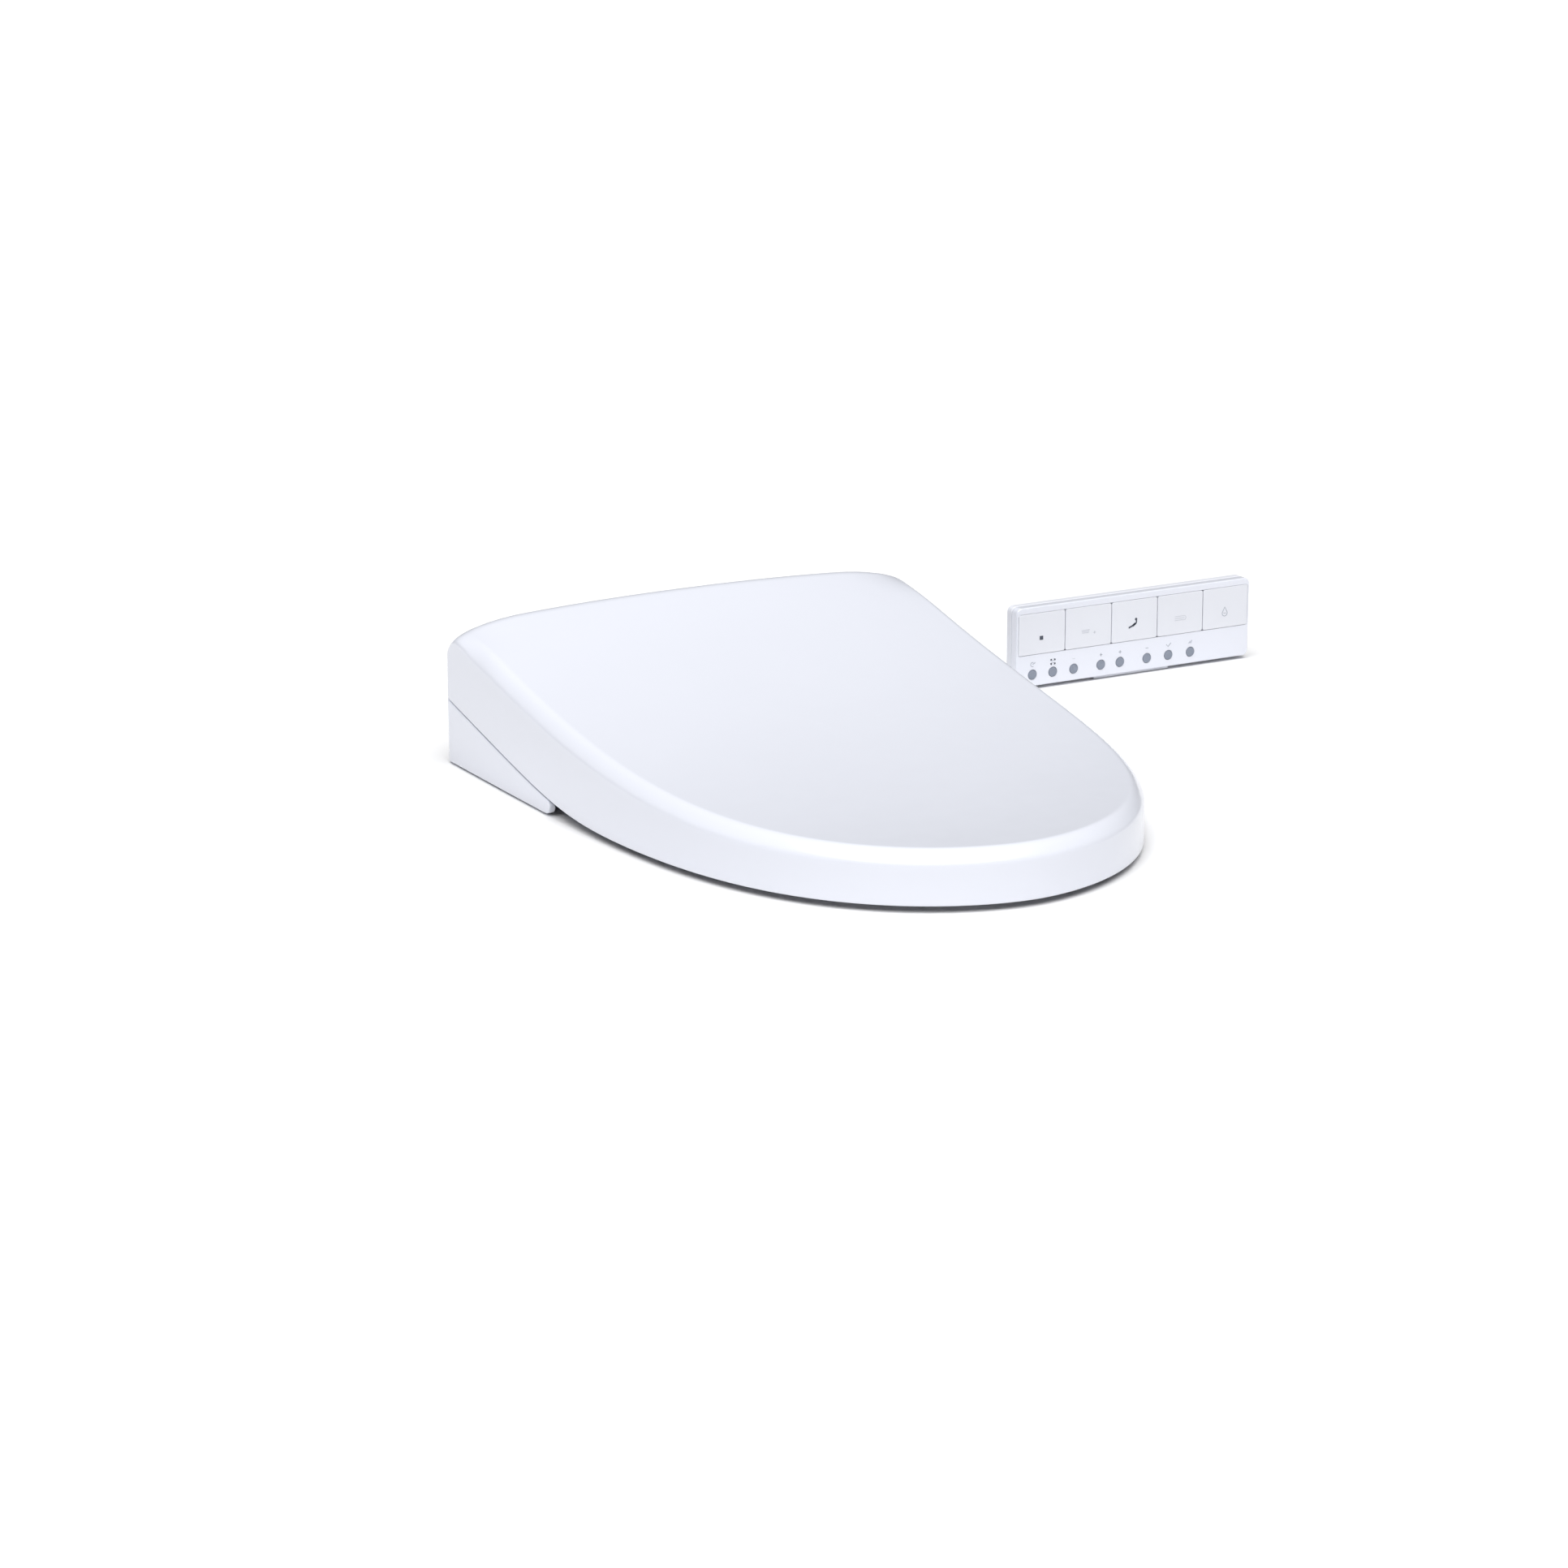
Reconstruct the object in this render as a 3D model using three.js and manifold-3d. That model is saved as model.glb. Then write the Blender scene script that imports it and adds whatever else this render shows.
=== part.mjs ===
// Electric bidet seat: lid, heated seat ring, washing unit with its mounting plate, and remote.
//
// Millimetres, +Z up, the front of the seat towards -Y. The origin lies midway between the two
// mounting bolts, on the rim of the bowl. Most shapes are drawn in a side view, with s measured
// forwards from the back of the lid and z upwards.
import * as THREE from "three";
import { mergeVertices } from "three/addons/utils/BufferGeometryUtils.js";
import Module from "manifold-3d";

const wasm = await Module();
wasm.setup();

// ---- Driving dimensions ---------------------------------------------------------------------

const GAP = 0.3; // between pieces that touch
const WALL = 3; // moulded shells
const BOLTS_TO_BACK = 54; // bolt line to the back of the lid

// Lid
const LENGTH = 523;
const HALF_WIDTH = 192;
const FLARE = 0.01; // how much wider the lid is at the front than at the back
const FRONT_POWERS = { along: 4.58, across: 1.82 }; // roundness of the front in plan
const CORNER_R = 8; // back corners in plan
const BACK_HEIGHT = 112.7;
const FRONT_HEIGHT = 42.8;
const TOP_SAG = 20.9; // how far the top line hangs below a straight one
const CROWN = { rise: 8, power: 2.2 }; // from the sides of the lid to its middle, fading forwards
const BEVEL = { width: 11, drop: 9.3, fadeFrom: 15, fadeTo: 60, power: 1.8 };
const SHOULDER = { depth: 27, foot: 59, power: 2.33 }; // rounded back of the lid
const SOFT_CORNER = { drop: 16, width: 58, reach: 40 }; // rounding of the lid's back corners
const LID_FLAT_FROM = 42; // inset from which the lid's top has no bevel
const LID_INSETS = [27, 15, 9, 4]; // rings between there and the edge
const LID_INNER_SCALES = [0.4, 0.75]; // rings further in
const LID_PAD = { x: 120, s: 400, radius: 8 };

// Hinge, shared by the seat and the lid
const HINGE = { s: 16, z: 72 };
const EYE_R = 9;
const PIN_R = 4;
const PIN_CLEARANCE = 0.4;
const SEAT_ARM_X = [151, 165];
const LID_LUG_X = [168, 178];
const LID_LUG_S = { from: 9, to: 54, step: 5 }; // where the lug meets the top of the lid
const PIN_X = [141, 180];
const DAMPER_X = [106, 140.6];
const DAMPER_R = 6;

// Split between the lid and the base, seen from the side
const SWING_R = 24.4; // reach of the lid's lower back edge around the hinge
const SPLIT = { height: 50.7, slope: 0.235, lip: 4.5, softness: 6 };
const SPLIT_GAP = 1.2;

// Base tray and casing
const TRAY = { wall: 4.7, backWall: 3.9, underside: 1.2, floor: [7, 10], floorFront: 158 };
const TRAY_NOSE = { s: 172, depth: 7 }; // rounded front of the tray's side wings
const RELEASE = { depth: 3, s: [62.4, 79.6], z: [13.4, 22.6], slack: 0.4 };
const INLETS = { x: 130, z: 24, slack: 0.4, collar: 3 };
const POWER_INLET = { radius: 6, collarR: 8.5, reach: 7 };
const WATER_INLET = { radius: 7, collarR: 9.5, reach: 9 };
const FOOT = { x: 160, s: 138, radius: 10 };
const HUMP_HALF_WIDTH = 148;
const HUMP = { back: [48, 87], front: [147, 66], frontFace: 159, cornerZ: 54 };
const HUMP_ROOM = { back: 8, coveFront: 44, crest: 51, crestDrop: 4.2, frontDrop: 3 };
const SHOULDERS = { drop: 2.4, front: 150, roomFront: 128 }; // low parts beside the hump
const SENSOR = { x: [-48, -26], z: [36, 46], thickness: 1.2 };
const PANEL = { halfWidth: 32, s: [122, 138], thickness: 1 };
const CASING_BOTTOM = TRAY.floor[1] + GAP + 0.1;
const COVE_R = 26.4; // hollow behind the hinge barrel, where the lid's back edge swings

// Mounting plate
const PLATE = { halfWidth: 110, s: [12, 112], gasket: 1.3, bottom: 1.6, top: 5.6 };
const BOLT_SPACING = 140;
const BOLT_SLOT = { radius: 4, halfLength: 9 };

// Seat ring
const SEAT = { back: 166, inset: 9, cornerR: 20, wallBottom: 12, crown: 36, rise: 4, underside: 9.3 };
const SEAT_ARM = { back: { top: [45, 76], under: [44, 63] }, front: { top: [178, 34], under: [178, 18] } };
const SEAT_ARM_NECK = 0.4; // radians below level at which the arm leaves its eye
const SEAT_PADS = { radius: 9, back: { x: 138, s: 240 }, front: { x: 92, s: 440 } };
const HOLE = { s: 331, halfWidth: 104, halfLength: 129 };
const NOTCH = { halfWidth: 92, top: 28, s: [160, 208] }; // room for the nozzle under the ring

// Nozzle
const NOZZLE = { port: [157, 20], tilt: THREE.MathUtils.degToRad(8), radius: 6, length: 104, tip: 22 };
const ROLLER = { radius: 8, s: 88, halfWidth: 4 };

// Dryer
const FAN = { x: 100, s: 92, radius: 34, bottom: 11, top: 45 };
const FAN_OUTLET = { x: [56, 78], z: [15, 24] };
const DRYER = { x: [50, 82], z: [12, 26], flap: 1.6, hingeR: 1.2 };
const DUCT = { s: [127, 155.4], wall: 1 };

// Heater, valves, board and filter
const HEATER = { x: -84, s: 96, width: 52, depth: 66, z: [13, 45], portX: [-98, -70] };
const VALVES = { x: [-46, -18], s: [96, 128], z: [12, 34], coilX: [-38, -26] };
const BOARD = { x: [-70, 50], s: [62, 126], z: [57, 58.6] };
const FILTER = { x: -127, s: 96, width: 26, depth: 58, z: [13, 41] };

// Remote
const REMOTE_CASE = { width: 220, depth: 64, cornerR: 5, wall: 2.5, bottom: 2.4, split: 9, top: 17.4 };
const REMOTE = { x: 395, wall: 20, depth: REMOTE_CASE.depth }; // centre across, and the wall behind it
const BRACKET = { width: 70, height: 44, ledge: 2, reach: 14 };
const HATCH = { x: 76, width: 52, depth: 30, cornerR: 2 }; // battery cover
const KEY = { count: 5, width: 42.8, depth: 33, pitch: 43.4, y: 10.2, cornerR: 2, proud: 0.4 };
const BUTTON = { radius: 3.8, y: -22.5, proud: 0.6, sides: 12 };
const BUTTON_PLACES = [-95, -76, -56.5, -31, -13, 12.5, 33, 54]; // in three groups
const KEY_BOTTOM = 11;
const REMOTE_BOARD = { width: 200, depth: 52, z: [KEY_BOTTOM - 2.8, KEY_BOTTOM - 1.2] };

// ---- Finishes -------------------------------------------------------------------------------

const finish = (color, roughness, metalness = 0) => ({ color, roughness, metalness });
const WHITE_GLOSS = finish(0xf0f2f8, 0.18);
const WHITE_SATIN = finish(0xe9ebf0, 0.4);
const GREY_PLASTIC = finish(0xb9bdc6, 0.45);
const DARK_PLASTIC = finish(0x2b2d31, 0.3);
const RUBBER = finish(0xd5d7da, 0.85);
const STEEL = finish(0xb8bbc0, 0.35, 0.9);
const BRASS = finish(0xb89a58, 0.35, 0.9);
const BOARD_GREEN = finish(0x2f6b45, 0.5);
const HEATER_FOIL = finish(0xc98a52, 0.4, 0.6);
const BUTTON_BLUE = finish(0x9fb0c8, 0.3);

// ---- Solids ---------------------------------------------------------------------------------

const model = new THREE.Group();

function addPiece(name, geometry, look, parent = model) {
  const mesh = new THREE.Mesh(geometry, new THREE.MeshStandardMaterial(look));
  mesh.name = name;
  parent.add(mesh);
}

// A three.js geometry as a solid that can be joined and cut.
function solid(geometry) {
  const bare = geometry.clone();
  bare.deleteAttribute("normal");
  bare.deleteAttribute("uv");
  const merged = mergeVertices(bare, 1e-4);
  const vertProperties = new Float32Array(merged.attributes.position.array);
  const triVerts = new Uint32Array(merged.index.array);
  return new wasm.Manifold(new wasm.Mesh({ numProp: 3, vertProperties, triVerts }));
}

function geometryOf(manifold) {
  const { vertProperties, triVerts } = manifold.getMesh();
  const geometry = new THREE.BufferGeometry();
  geometry.setAttribute("position", new THREE.BufferAttribute(vertProperties, 3));
  geometry.setIndex(new THREE.BufferAttribute(triVerts, 1));
  geometry.computeVertexNormals();
  return geometry;
}

const join = (...solids) => solids.reduce((whole, next) => whole.add(next));
const cut = (whole, ...tools) => tools.reduce((rest, tool) => rest.subtract(tool), whole);

// A point given by its place across, forwards from the back, and up.
const place = (x, s, z) => new THREE.Vector3(x, BOLTS_TO_BACK - s, z);

// A block between two corners, given across, forwards and up.
function block([x0, x1], [s0, s1], [z0, z1]) {
  const geometry = new THREE.BoxGeometry(x1 - x0, s1 - s0, z1 - z0);
  const centre = place((x0 + x1) / 2, (s0 + s1) / 2, (z0 + z1) / 2);
  return solid(geometry.translate(centre.x, centre.y, centre.z));
}

// A round bar along X, across, forwards or up; it is centred on the given point.
function bar(axis, radius, length, centre, sides = 20) {
  const geometry = new THREE.CylinderGeometry(radius, radius, length, sides);
  if (axis === "x") geometry.rotateZ(Math.PI / 2);
  if (axis === "z") geometry.rotateX(Math.PI / 2);
  return solid(geometry.translate(centre.x, centre.y, centre.z));
}

// A side-view shape pulled across the seat from x0 to x1.
function sideSolid(shape, x0, x1) {
  const options = { depth: x1 - x0, bevelEnabled: false, curveSegments: 5 };
  const geometry = new THREE.ExtrudeGeometry(shape, options);
  const toSeat = new THREE.Matrix4().set(
    0, 0, -1, x1,
    -1, 0, 0, BOLTS_TO_BACK,
    0, 1, 0, 0,
    0, 0, 0, 1,
  );
  return solid(geometry.applyMatrix4(toSeat));
}

// A plan-view shape, drawn in x and y, between two heights.
function planSolid(shape, z0, z1) {
  const options = { depth: z1 - z0, bevelEnabled: false, curveSegments: 2 };
  return solid(new THREE.ExtrudeGeometry(shape, options).translate(0, 0, z0));
}

function roundedRectangle(width, depth, radius) {
  const x = width / 2 - radius;
  const y = depth / 2 - radius;
  const shape = new THREE.Shape();
  shape.absarc(x, y, radius, 0, Math.PI / 2);
  shape.absarc(-x, y, radius, Math.PI / 2, Math.PI);
  shape.absarc(-x, -y, radius, Math.PI, 1.5 * Math.PI);
  shape.absarc(x, -y, radius, 1.5 * Math.PI, 2 * Math.PI);
  return shape;
}

// A rounded slab centred over (x, s) between two heights.
function slab(x, s, width, depth, radius, z0, z1) {
  const centre = place(x, s, 0);
  const offset = [centre.x, centre.y, 0];
  return planSolid(roundedRectangle(width, depth, radius), z0, z1).translate(offset);
}

// A closed skin over rings of points. As a loop the last ring meets the first; otherwise a fan
// closes each end.
function loft(rings, loop) {
  const count = rings[0].length;
  const points = rings.flat();
  const triangles = [];
  const bands = loop ? rings.length : rings.length - 1;
  for (let i = 0; i < bands; i += 1) {
    const next = (i + 1) % rings.length;
    for (let k = 0; k < count; k += 1) {
      const [a, b] = [i * count + k, i * count + ((k + 1) % count)];
      const [c, d] = [next * count + k, next * count + ((k + 1) % count)];
      triangles.push(a, b, d, a, d, c);
    }
  }
  if (!loop) {
    closeEnd(points, triangles, 0, count, true);
    closeEnd(points, triangles, (rings.length - 1) * count, count, false);
  }
  const geometry = new THREE.BufferGeometry().setFromPoints(points);
  geometry.setIndex(triangles);
  return solid(geometry);
}

function closeEnd(points, triangles, start, count, first) {
  const centre = new THREE.Vector3();
  for (let k = 0; k < count; k += 1) centre.addScaledVector(points[start + k], 1 / count);
  const hub = points.push(centre) - 1;
  for (let k = 0; k < count; k += 1) {
    const [a, b] = [start + k, start + ((k + 1) % count)];
    triangles.push(...(first ? [hub, b, a] : [hub, a, b]));
  }
}

// ---- Outline and side lines of the lid --------------------------------------------------------

const clamp01 = (value) => THREE.MathUtils.clamp(value, 0, 1);

function halfWidthAt(q, halfWidth) {
  const { along, across } = FRONT_POWERS;
  return halfWidth * (1 + FLARE * q) * (1 - q ** along) ** (1 / across);
}

const SIDE_STEPS = 12;
const SIDE_CROWDING = 1.8; // above 1 brings the steps closer together near the back
const SIDE_SHARE = 0.6; // share of the length that counts as the side
const FRONT_STEPS = 9;

// Half of an outline, from the middle of its back edge round to its front tip.
// The curve itself starts at outlineBack, which may lie behind the cut at the back.
function halfOutline(back, front, halfWidth, cornerR, outlineBack) {
  const points = [];
  for (let i = 0; i < 4; i += 1) points.push([((halfWidth - cornerR) * i) / 4, back]);
  for (let i = 0; i <= 4; i += 1) {
    const turn = (Math.PI / 2) * (i / 4);
    const across = halfWidth - cornerR + cornerR * Math.sin(turn);
    points.push([across, back + cornerR * (1 - Math.cos(turn))]);
  }
  const toQ = (s) => (s - outlineBack) / (front - outlineBack);
  const sideStart = back + cornerR;
  const sideEnd = outlineBack + SIDE_SHARE * (front - outlineBack);
  for (let i = 1; i <= SIDE_STEPS; i += 1) {
    const s = sideStart + (sideEnd - sideStart) * (i / SIDE_STEPS) ** SIDE_CROWDING;
    points.push([halfWidthAt(toQ(s), halfWidth), s]);
  }
  const firstAngle = Math.asin(SIDE_SHARE ** (FRONT_POWERS.along / 2));
  for (let i = 1; i <= FRONT_STEPS; i += 1) {
    const angle = firstAngle + ((Math.PI / 2 - firstAngle) * i) / FRONT_STEPS;
    const q = Math.sin(angle) ** (2 / FRONT_POWERS.along);
    const across = i === FRONT_STEPS ? 0 : halfWidthAt(q, halfWidth);
    points.push([across, outlineBack + q * (front - outlineBack)]);
  }
  return points;
}

// The whole outline: the right half, then the left half from the tip back.
function mirrored(half) {
  const left = half.slice(1, -1).reverse();
  return [...half, ...left.map(([x, s]) => [-x, s])];
}

function lidOutline(inset) {
  const radius = Math.max(CORNER_R - inset, 1);
  return mirrored(halfOutline(inset, LENGTH - inset, HALF_WIDTH - inset, radius, inset));
}

// Height of the lid's top, without its bevel; it is the outside for wall 0.
function lidTop(x, s, wall) {
  const q = s / LENGTH;
  const line = BACK_HEIGHT + (FRONT_HEIGHT - BACK_HEIGHT) * q - TOP_SAG * 4 * q * (1 - q);
  const crown = CROWN.rise * (1 - Math.abs(x / HALF_WIDTH) ** CROWN.power) * (1 - q);
  const height = line + crown - wall - SHOULDER.foot;
  const rounding = 1 - clamp01((s - wall) / (SHOULDER.depth - wall));
  const share = (1 - rounding ** SHOULDER.power) ** (1 / SHOULDER.power);
  return SHOULDER.foot + (height - cornerDrop(x, s)) * share;
}

// How much lower the top lies in its back corners.
function cornerDrop(x, s) {
  const nearSide = clamp01(1 - (HALF_WIDTH - Math.abs(x)) / SOFT_CORNER.width);
  const nearBack = Math.exp(-((s / SOFT_CORNER.reach) ** 2));
  return SOFT_CORNER.drop * nearBack * (1 - Math.sqrt(1 - nearSide ** 2));
}

function bevelDrop(s, inset) {
  const fade = THREE.MathUtils.smoothstep(s, BEVEL.fadeFrom, BEVEL.fadeTo);
  return BEVEL.drop * fade * clamp01(1 - inset / BEVEL.width) ** BEVEL.power;
}

// The lid's lower edge: an arc about the hinge, then a line that flattens out to a level lip.
function splitHeight(s, gap) {
  const radius = SWING_R + gap;
  const tilt = Math.atan(SPLIT.slope);
  if (s < HINGE.s - radius * Math.sin(tilt)) {
    return HINGE.z - Math.sqrt(radius ** 2 - (HINGE.s - s) ** 2);
  }
  const line = SPLIT.height - SPLIT.slope * s - SPLIT.lip;
  const soft = SPLIT.softness * Math.log(1 + Math.exp(line / SPLIT.softness));
  return SPLIT.lip + soft - gap / Math.cos(tilt);
}

// ---- Lid ----------------------------------------------------------------------------------------

function lidRing(inset, wall) {
  const height = (x, s) => lidTop(x, s, wall) - bevelDrop(s, inset - wall);
  return lidOutline(inset).map(([x, s]) => place(x, s, height(x, s)));
}

// A ring drawn in towards the middle of the lid.
function shrunkRing(inset, wall, scale) {
  const middle = LENGTH / 2;
  return lidOutline(inset).map(([x, s]) => {
    const [nearX, nearS] = [x * scale, middle + (s - middle) * scale];
    return place(nearX, nearS, lidTop(nearX, nearS, wall));
  });
}

function lidShell() {
  const lowerEdge = (inset) => lidOutline(inset).map(([x, s]) => place(x, s, splitHeight(s, 0)));
  const topRings = (wall) => [
    ...LID_INNER_SCALES.map((scale) => shrunkRing(LID_FLAT_FROM, wall, scale)),
    ...[LID_FLAT_FROM, ...LID_INSETS, 0].map((inset) => lidRing(inset + wall, wall)),
  ];
  const outside = [...topRings(0), lowerEdge(0)];
  const inside = [lowerEdge(WALL), ...topRings(WALL).reverse()];
  return loft([...outside, ...inside], false);
}

// A lug that hangs from the lid and turns on the hinge pin.
function lidLug(side) {
  const { from, to, step } = LID_LUG_S;
  const shape = new THREE.Shape();
  shape.moveTo(HINGE.s - EYE_R, HINGE.z);
  for (let s = from; s <= to; s += step) shape.lineTo(s, lidTop(LID_LUG_X[1], s, 0) - WALL / 2);
  shape.lineTo(HINGE.s + EYE_R * 2, HINGE.z + EYE_R);
  shape.lineTo(HINGE.s + EYE_R, HINGE.z);
  const [x0, x1] = acrossOn(side, LID_LUG_X);
  return join(sideSolid(shape, x0, x1), hingeBar(EYE_R, x0, x1));
}

const SIDES = [["right", 1], ["left", -1]];
const acrossOn = (side, [inner, outer]) => (side > 0 ? [inner, outer] : [-outer, -inner]);

function hingeBar(radius, x0, x1, sides = 20) {
  return bar("x", radius, x1 - x0, place((x0 + x1) / 2, HINGE.s, HINGE.z), sides);
}

function pinHole(side, xRange) {
  const [x0, x1] = acrossOn(side, xRange);
  return hingeBar(PIN_R + PIN_CLEARANCE, x0 - 1, x1 + 1);
}

function buildLid() {
  const lugs = [1, -1].map(lidLug);
  const holes = [1, -1].map((side) => pinHole(side, LID_LUG_X));
  addPiece("lid", geometryOf(cut(join(lidShell(), ...lugs), ...holes)), WHITE_GLOSS);
  const { x, s, radius } = LID_PAD;
  const bottom = SEAT.crown + seatRise(s) + 2 * GAP;
  const top = lidTop(x + radius, s + radius, WALL) - GAP;
  for (const [name, side] of SIDES) {
    const centre = place(side * x, s, (bottom + top) / 2);
    addPiece(`lid_bumper_${name}`, geometryOf(bar("z", radius, top - bottom, centre, 16)), RUBBER);
  }
}

// ---- Seat ring ------------------------------------------------------------------------------------

function seatRise(s) {
  return SEAT.rise * (1 - (s - SEAT.back) / (LENGTH - SEAT.inset - SEAT.back));
}

// Pairs of matching points on the hole and on the outer edge.
function seatEdges() {
  const front = LENGTH - SEAT.inset;
  const halfWidth = HALF_WIDTH - SEAT.inset;
  const outer = mirrored(halfOutline(SEAT.back, front, halfWidth, SEAT.cornerR, SEAT.inset));
  return outer.map(([x, s]) => {
    const angle = Math.atan2((s - HOLE.s) / HOLE.halfLength, x / HOLE.halfWidth);
    const hole = [HOLE.halfWidth * Math.cos(angle), HOLE.s + HOLE.halfLength * Math.sin(angle)];
    return { hole, outer: [x, s] };
  });
}

// A ring whose section is a list of [share of the way to the outer edge, step in mm, height],
// going up its outer side, over its top and down to the hole.
function ringSolid(section) {
  const edges = seatEdges();
  const rings = section.map(([share, step, z]) =>
    edges.map(({ hole, outer }) => {
      const across = new THREE.Vector2(outer[0] - hole[0], outer[1] - hole[1]);
      const width = across.length();
      const along = share * width + step;
      const x = hole[0] + (across.x / width) * along;
      const s = hole[1] + (across.y / width) * along;
      return place(x, s, z + (z > SEAT.wallBottom ? seatRise(s) : 0));
    }),
  );
  return loft(rings.reverse(), true);
}

const notch = () =>
  block([-NOTCH.halfWidth, NOTCH.halfWidth], NOTCH.s, [0, NOTCH.top]);

function seatArm(side) {
  const shape = new THREE.Shape();
  const { back, front } = SEAT_ARM;
  const corners = [back.top, front.top, front.under, back.under];
  shape.moveTo(HINGE.s, HINGE.z + EYE_R);
  for (const corner of corners) shape.lineTo(...corner);
  const neck = [EYE_R * Math.cos(SEAT_ARM_NECK), EYE_R * Math.sin(SEAT_ARM_NECK)];
  shape.lineTo(HINGE.s + neck[0], HINGE.z - neck[1]);
  const [x0, x1] = acrossOn(side, SEAT_ARM_X);
  return join(sideSolid(shape, x0, x1), hingeBar(EYE_R, x0, x1));
}

function seatShell() {
  const top = SEAT.crown;
  const outside = [[1, 0, 12], [1, 0, 20], [1, -5, 29], [1, -16, 34], [0.5, 0, top]];
  const insideEdge = [[0, 14, 33.5], [0, 4, 28], [0, 0, 20], [0, 0, 12]];
  const underEdge = [[0, 3, 12], [0, 3, 20], [0, 6.5, 26.5], [0, 15, 30.4]];
  const under = [[0.5, 0, top - WALL], [1, -17, 30.8], [1, -8, 26.3], [1, -3, 20], [1, -3, 12]];
  return ringSolid([...outside, ...insideEdge, ...underEdge, ...under]);
}

// A thin foil just under the top of the shell.
function heaterFoil() {
  const above = [[1, -17.5, 29.8], [0.5, 0, 31.3], [0, 15.5, 29.6]];
  const below = above.map(([share, step, z]) => [share, step, z - 0.6]).reverse();
  return ringSolid([...above, ...below]);
}

function buildSeat() {
  const arms = [1, -1].map(seatArm);
  const holes = [1, -1].map((side) => pinHole(side, SEAT_ARM_X));
  const upper = cut(join(seatShell(), ...arms), notch(), ...holes);
  addPiece("seat_upper_shell", geometryOf(upper), WHITE_GLOSS);
  addPiece("seat_heater_foil", geometryOf(heaterFoil()), HEATER_FOIL);

  const low = SEAT.underside;
  const high = SEAT.wallBottom - GAP;
  const lower = ringSolid([[1, 0, low], [1, 0, high], [0, 0, high], [0, 0, low]]);
  addPiece("seat_lower_shell", geometryOf(cut(lower, notch())), WHITE_SATIN);

  const height = low - GAP;
  for (const end of ["back", "front"]) {
    for (const [name, side] of SIDES) {
      const centre = place(side * SEAT_PADS[end].x, SEAT_PADS[end].s, height / 2);
      const pad = bar("z", SEAT_PADS.radius, height, centre, 16);
      addPiece(`seat_bumper_${end}_${name}`, geometryOf(pad), RUBBER);
    }
  }
}

// ---- Base tray, casing and mounting plate ------------------------------------------------------------

// The top edge of the base, from its back to the given place, lower than the lid by the gap.
function traceSplit(shape, from, to, gap) {
  const steps = 14;
  for (let i = 0; i <= steps; i += 1) {
    const s = from + ((to - from) * (i / steps) ** 1.5);
    shape.lineTo(s, splitHeight(s, gap));
  }
}

function planOutline(points) {
  return new THREE.Shape(points.map(([x, s]) => new THREE.Vector2(x, BOLTS_TO_BACK - s)).reverse());
}

function baseTray() {
  const nose = TRAY_NOSE.s;
  const noseStart = nose - TRAY_NOSE.depth;
  const noseTop = splitHeight(noseStart, SPLIT_GAP);
  const shape = new THREE.Shape();
  shape.moveTo(0, TRAY.underside);
  traceSplit(shape, 0, noseStart, SPLIT_GAP);
  shape.quadraticCurveTo(nose, noseTop - 1, nose, noseTop / 2);
  shape.quadraticCurveTo(nose, TRAY.underside, noseStart, TRAY.underside);
  const whole = sideSolid(shape, -HALF_WIDTH - 1, HALF_WIDTH + 1);
  const outline = planSolid(planOutline(lidOutline(0)), 0, 60);
  const inner = HALF_WIDTH - TRAY.wall;
  const { backWall, floor, floorFront } = TRAY;
  const room = (s, z) => block([-inner, inner], s, z);
  const above = room([backWall, nose + 1], [floor[1], BACK_HEIGHT]);
  const below = room([backWall, nose + 1], [0, floor[0]]);
  const front = room([floorFront, nose + 1], [0, BACK_HEIGHT]);
  const plateHalf = PLATE.halfWidth + 2;
  const plateWay = block([-plateHalf, plateHalf], [-1, backWall + 1], [0, floor[0]]);
  const rooms = [above, below, front, plateWay, buttonSlot()];
  return cut(whole.intersect(outline), ...rooms, inletHole(1, POWER_INLET), inletHole(-1, WATER_INLET));
}

function buttonSlot() {
  const { s, z, slack } = RELEASE;
  const across = [HALF_WIDTH - TRAY.wall - 1, HALF_WIDTH + 1];
  return block(across, [s[0] - slack, s[1] + slack], [z[0] - slack, z[1] + slack]);
}

function humpShape() {
  const shape = new THREE.Shape();
  const back = TRAY.backWall + GAP;
  const coveStart = Math.PI + Math.acos((HINGE.s - back) / COVE_R);
  const neck = THREE.MathUtils.degToRad(-15);
  const crest = THREE.MathUtils.degToRad(50);
  shape.moveTo(HUMP.frontFace, CASING_BOTTOM);
  shape.lineTo(back, CASING_BOTTOM);
  shape.absarc(HINGE.s, HINGE.z, COVE_R, coveStart, 2 * Math.PI + neck, false);
  shape.absarc(HINGE.s, HINGE.z, EYE_R, neck, crest, true);
  shape.lineTo(...HUMP.back);
  shape.lineTo(...HUMP.front);
  shape.quadraticCurveTo(HUMP.frontFace, HUMP.front[1] - 2, HUMP.frontFace, HUMP.cornerZ);
  return shape;
}

function humpHollow() {
  const { back, coveFront, crest, crestDrop, frontDrop } = HUMP_ROOM;
  const underCove = HINGE.z - COVE_R - WALL;
  const front = HUMP.frontFace - WALL;
  const shape = new THREE.Shape();
  shape.moveTo(back, CASING_BOTTOM - 1);
  shape.lineTo(back, underCove);
  shape.lineTo(coveFront, underCove);
  shape.lineTo(crest, HUMP.back[1] - crestDrop);
  shape.lineTo(HUMP.front[0] - frontDrop, HUMP.front[1] - WALL);
  shape.lineTo(front, HUMP.cornerZ);
  shape.lineTo(front, CASING_BOTTOM - 1);
  return shape;
}

// The low part of the casing beside the hump, between a level bottom and a line below the split.
function shoulderShape(bottom, gap, from, to) {
  const shape = new THREE.Shape();
  shape.moveTo(from, bottom);
  traceSplit(shape, from, to, gap);
  shape.lineTo(to, bottom);
  return shape;
}

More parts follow.
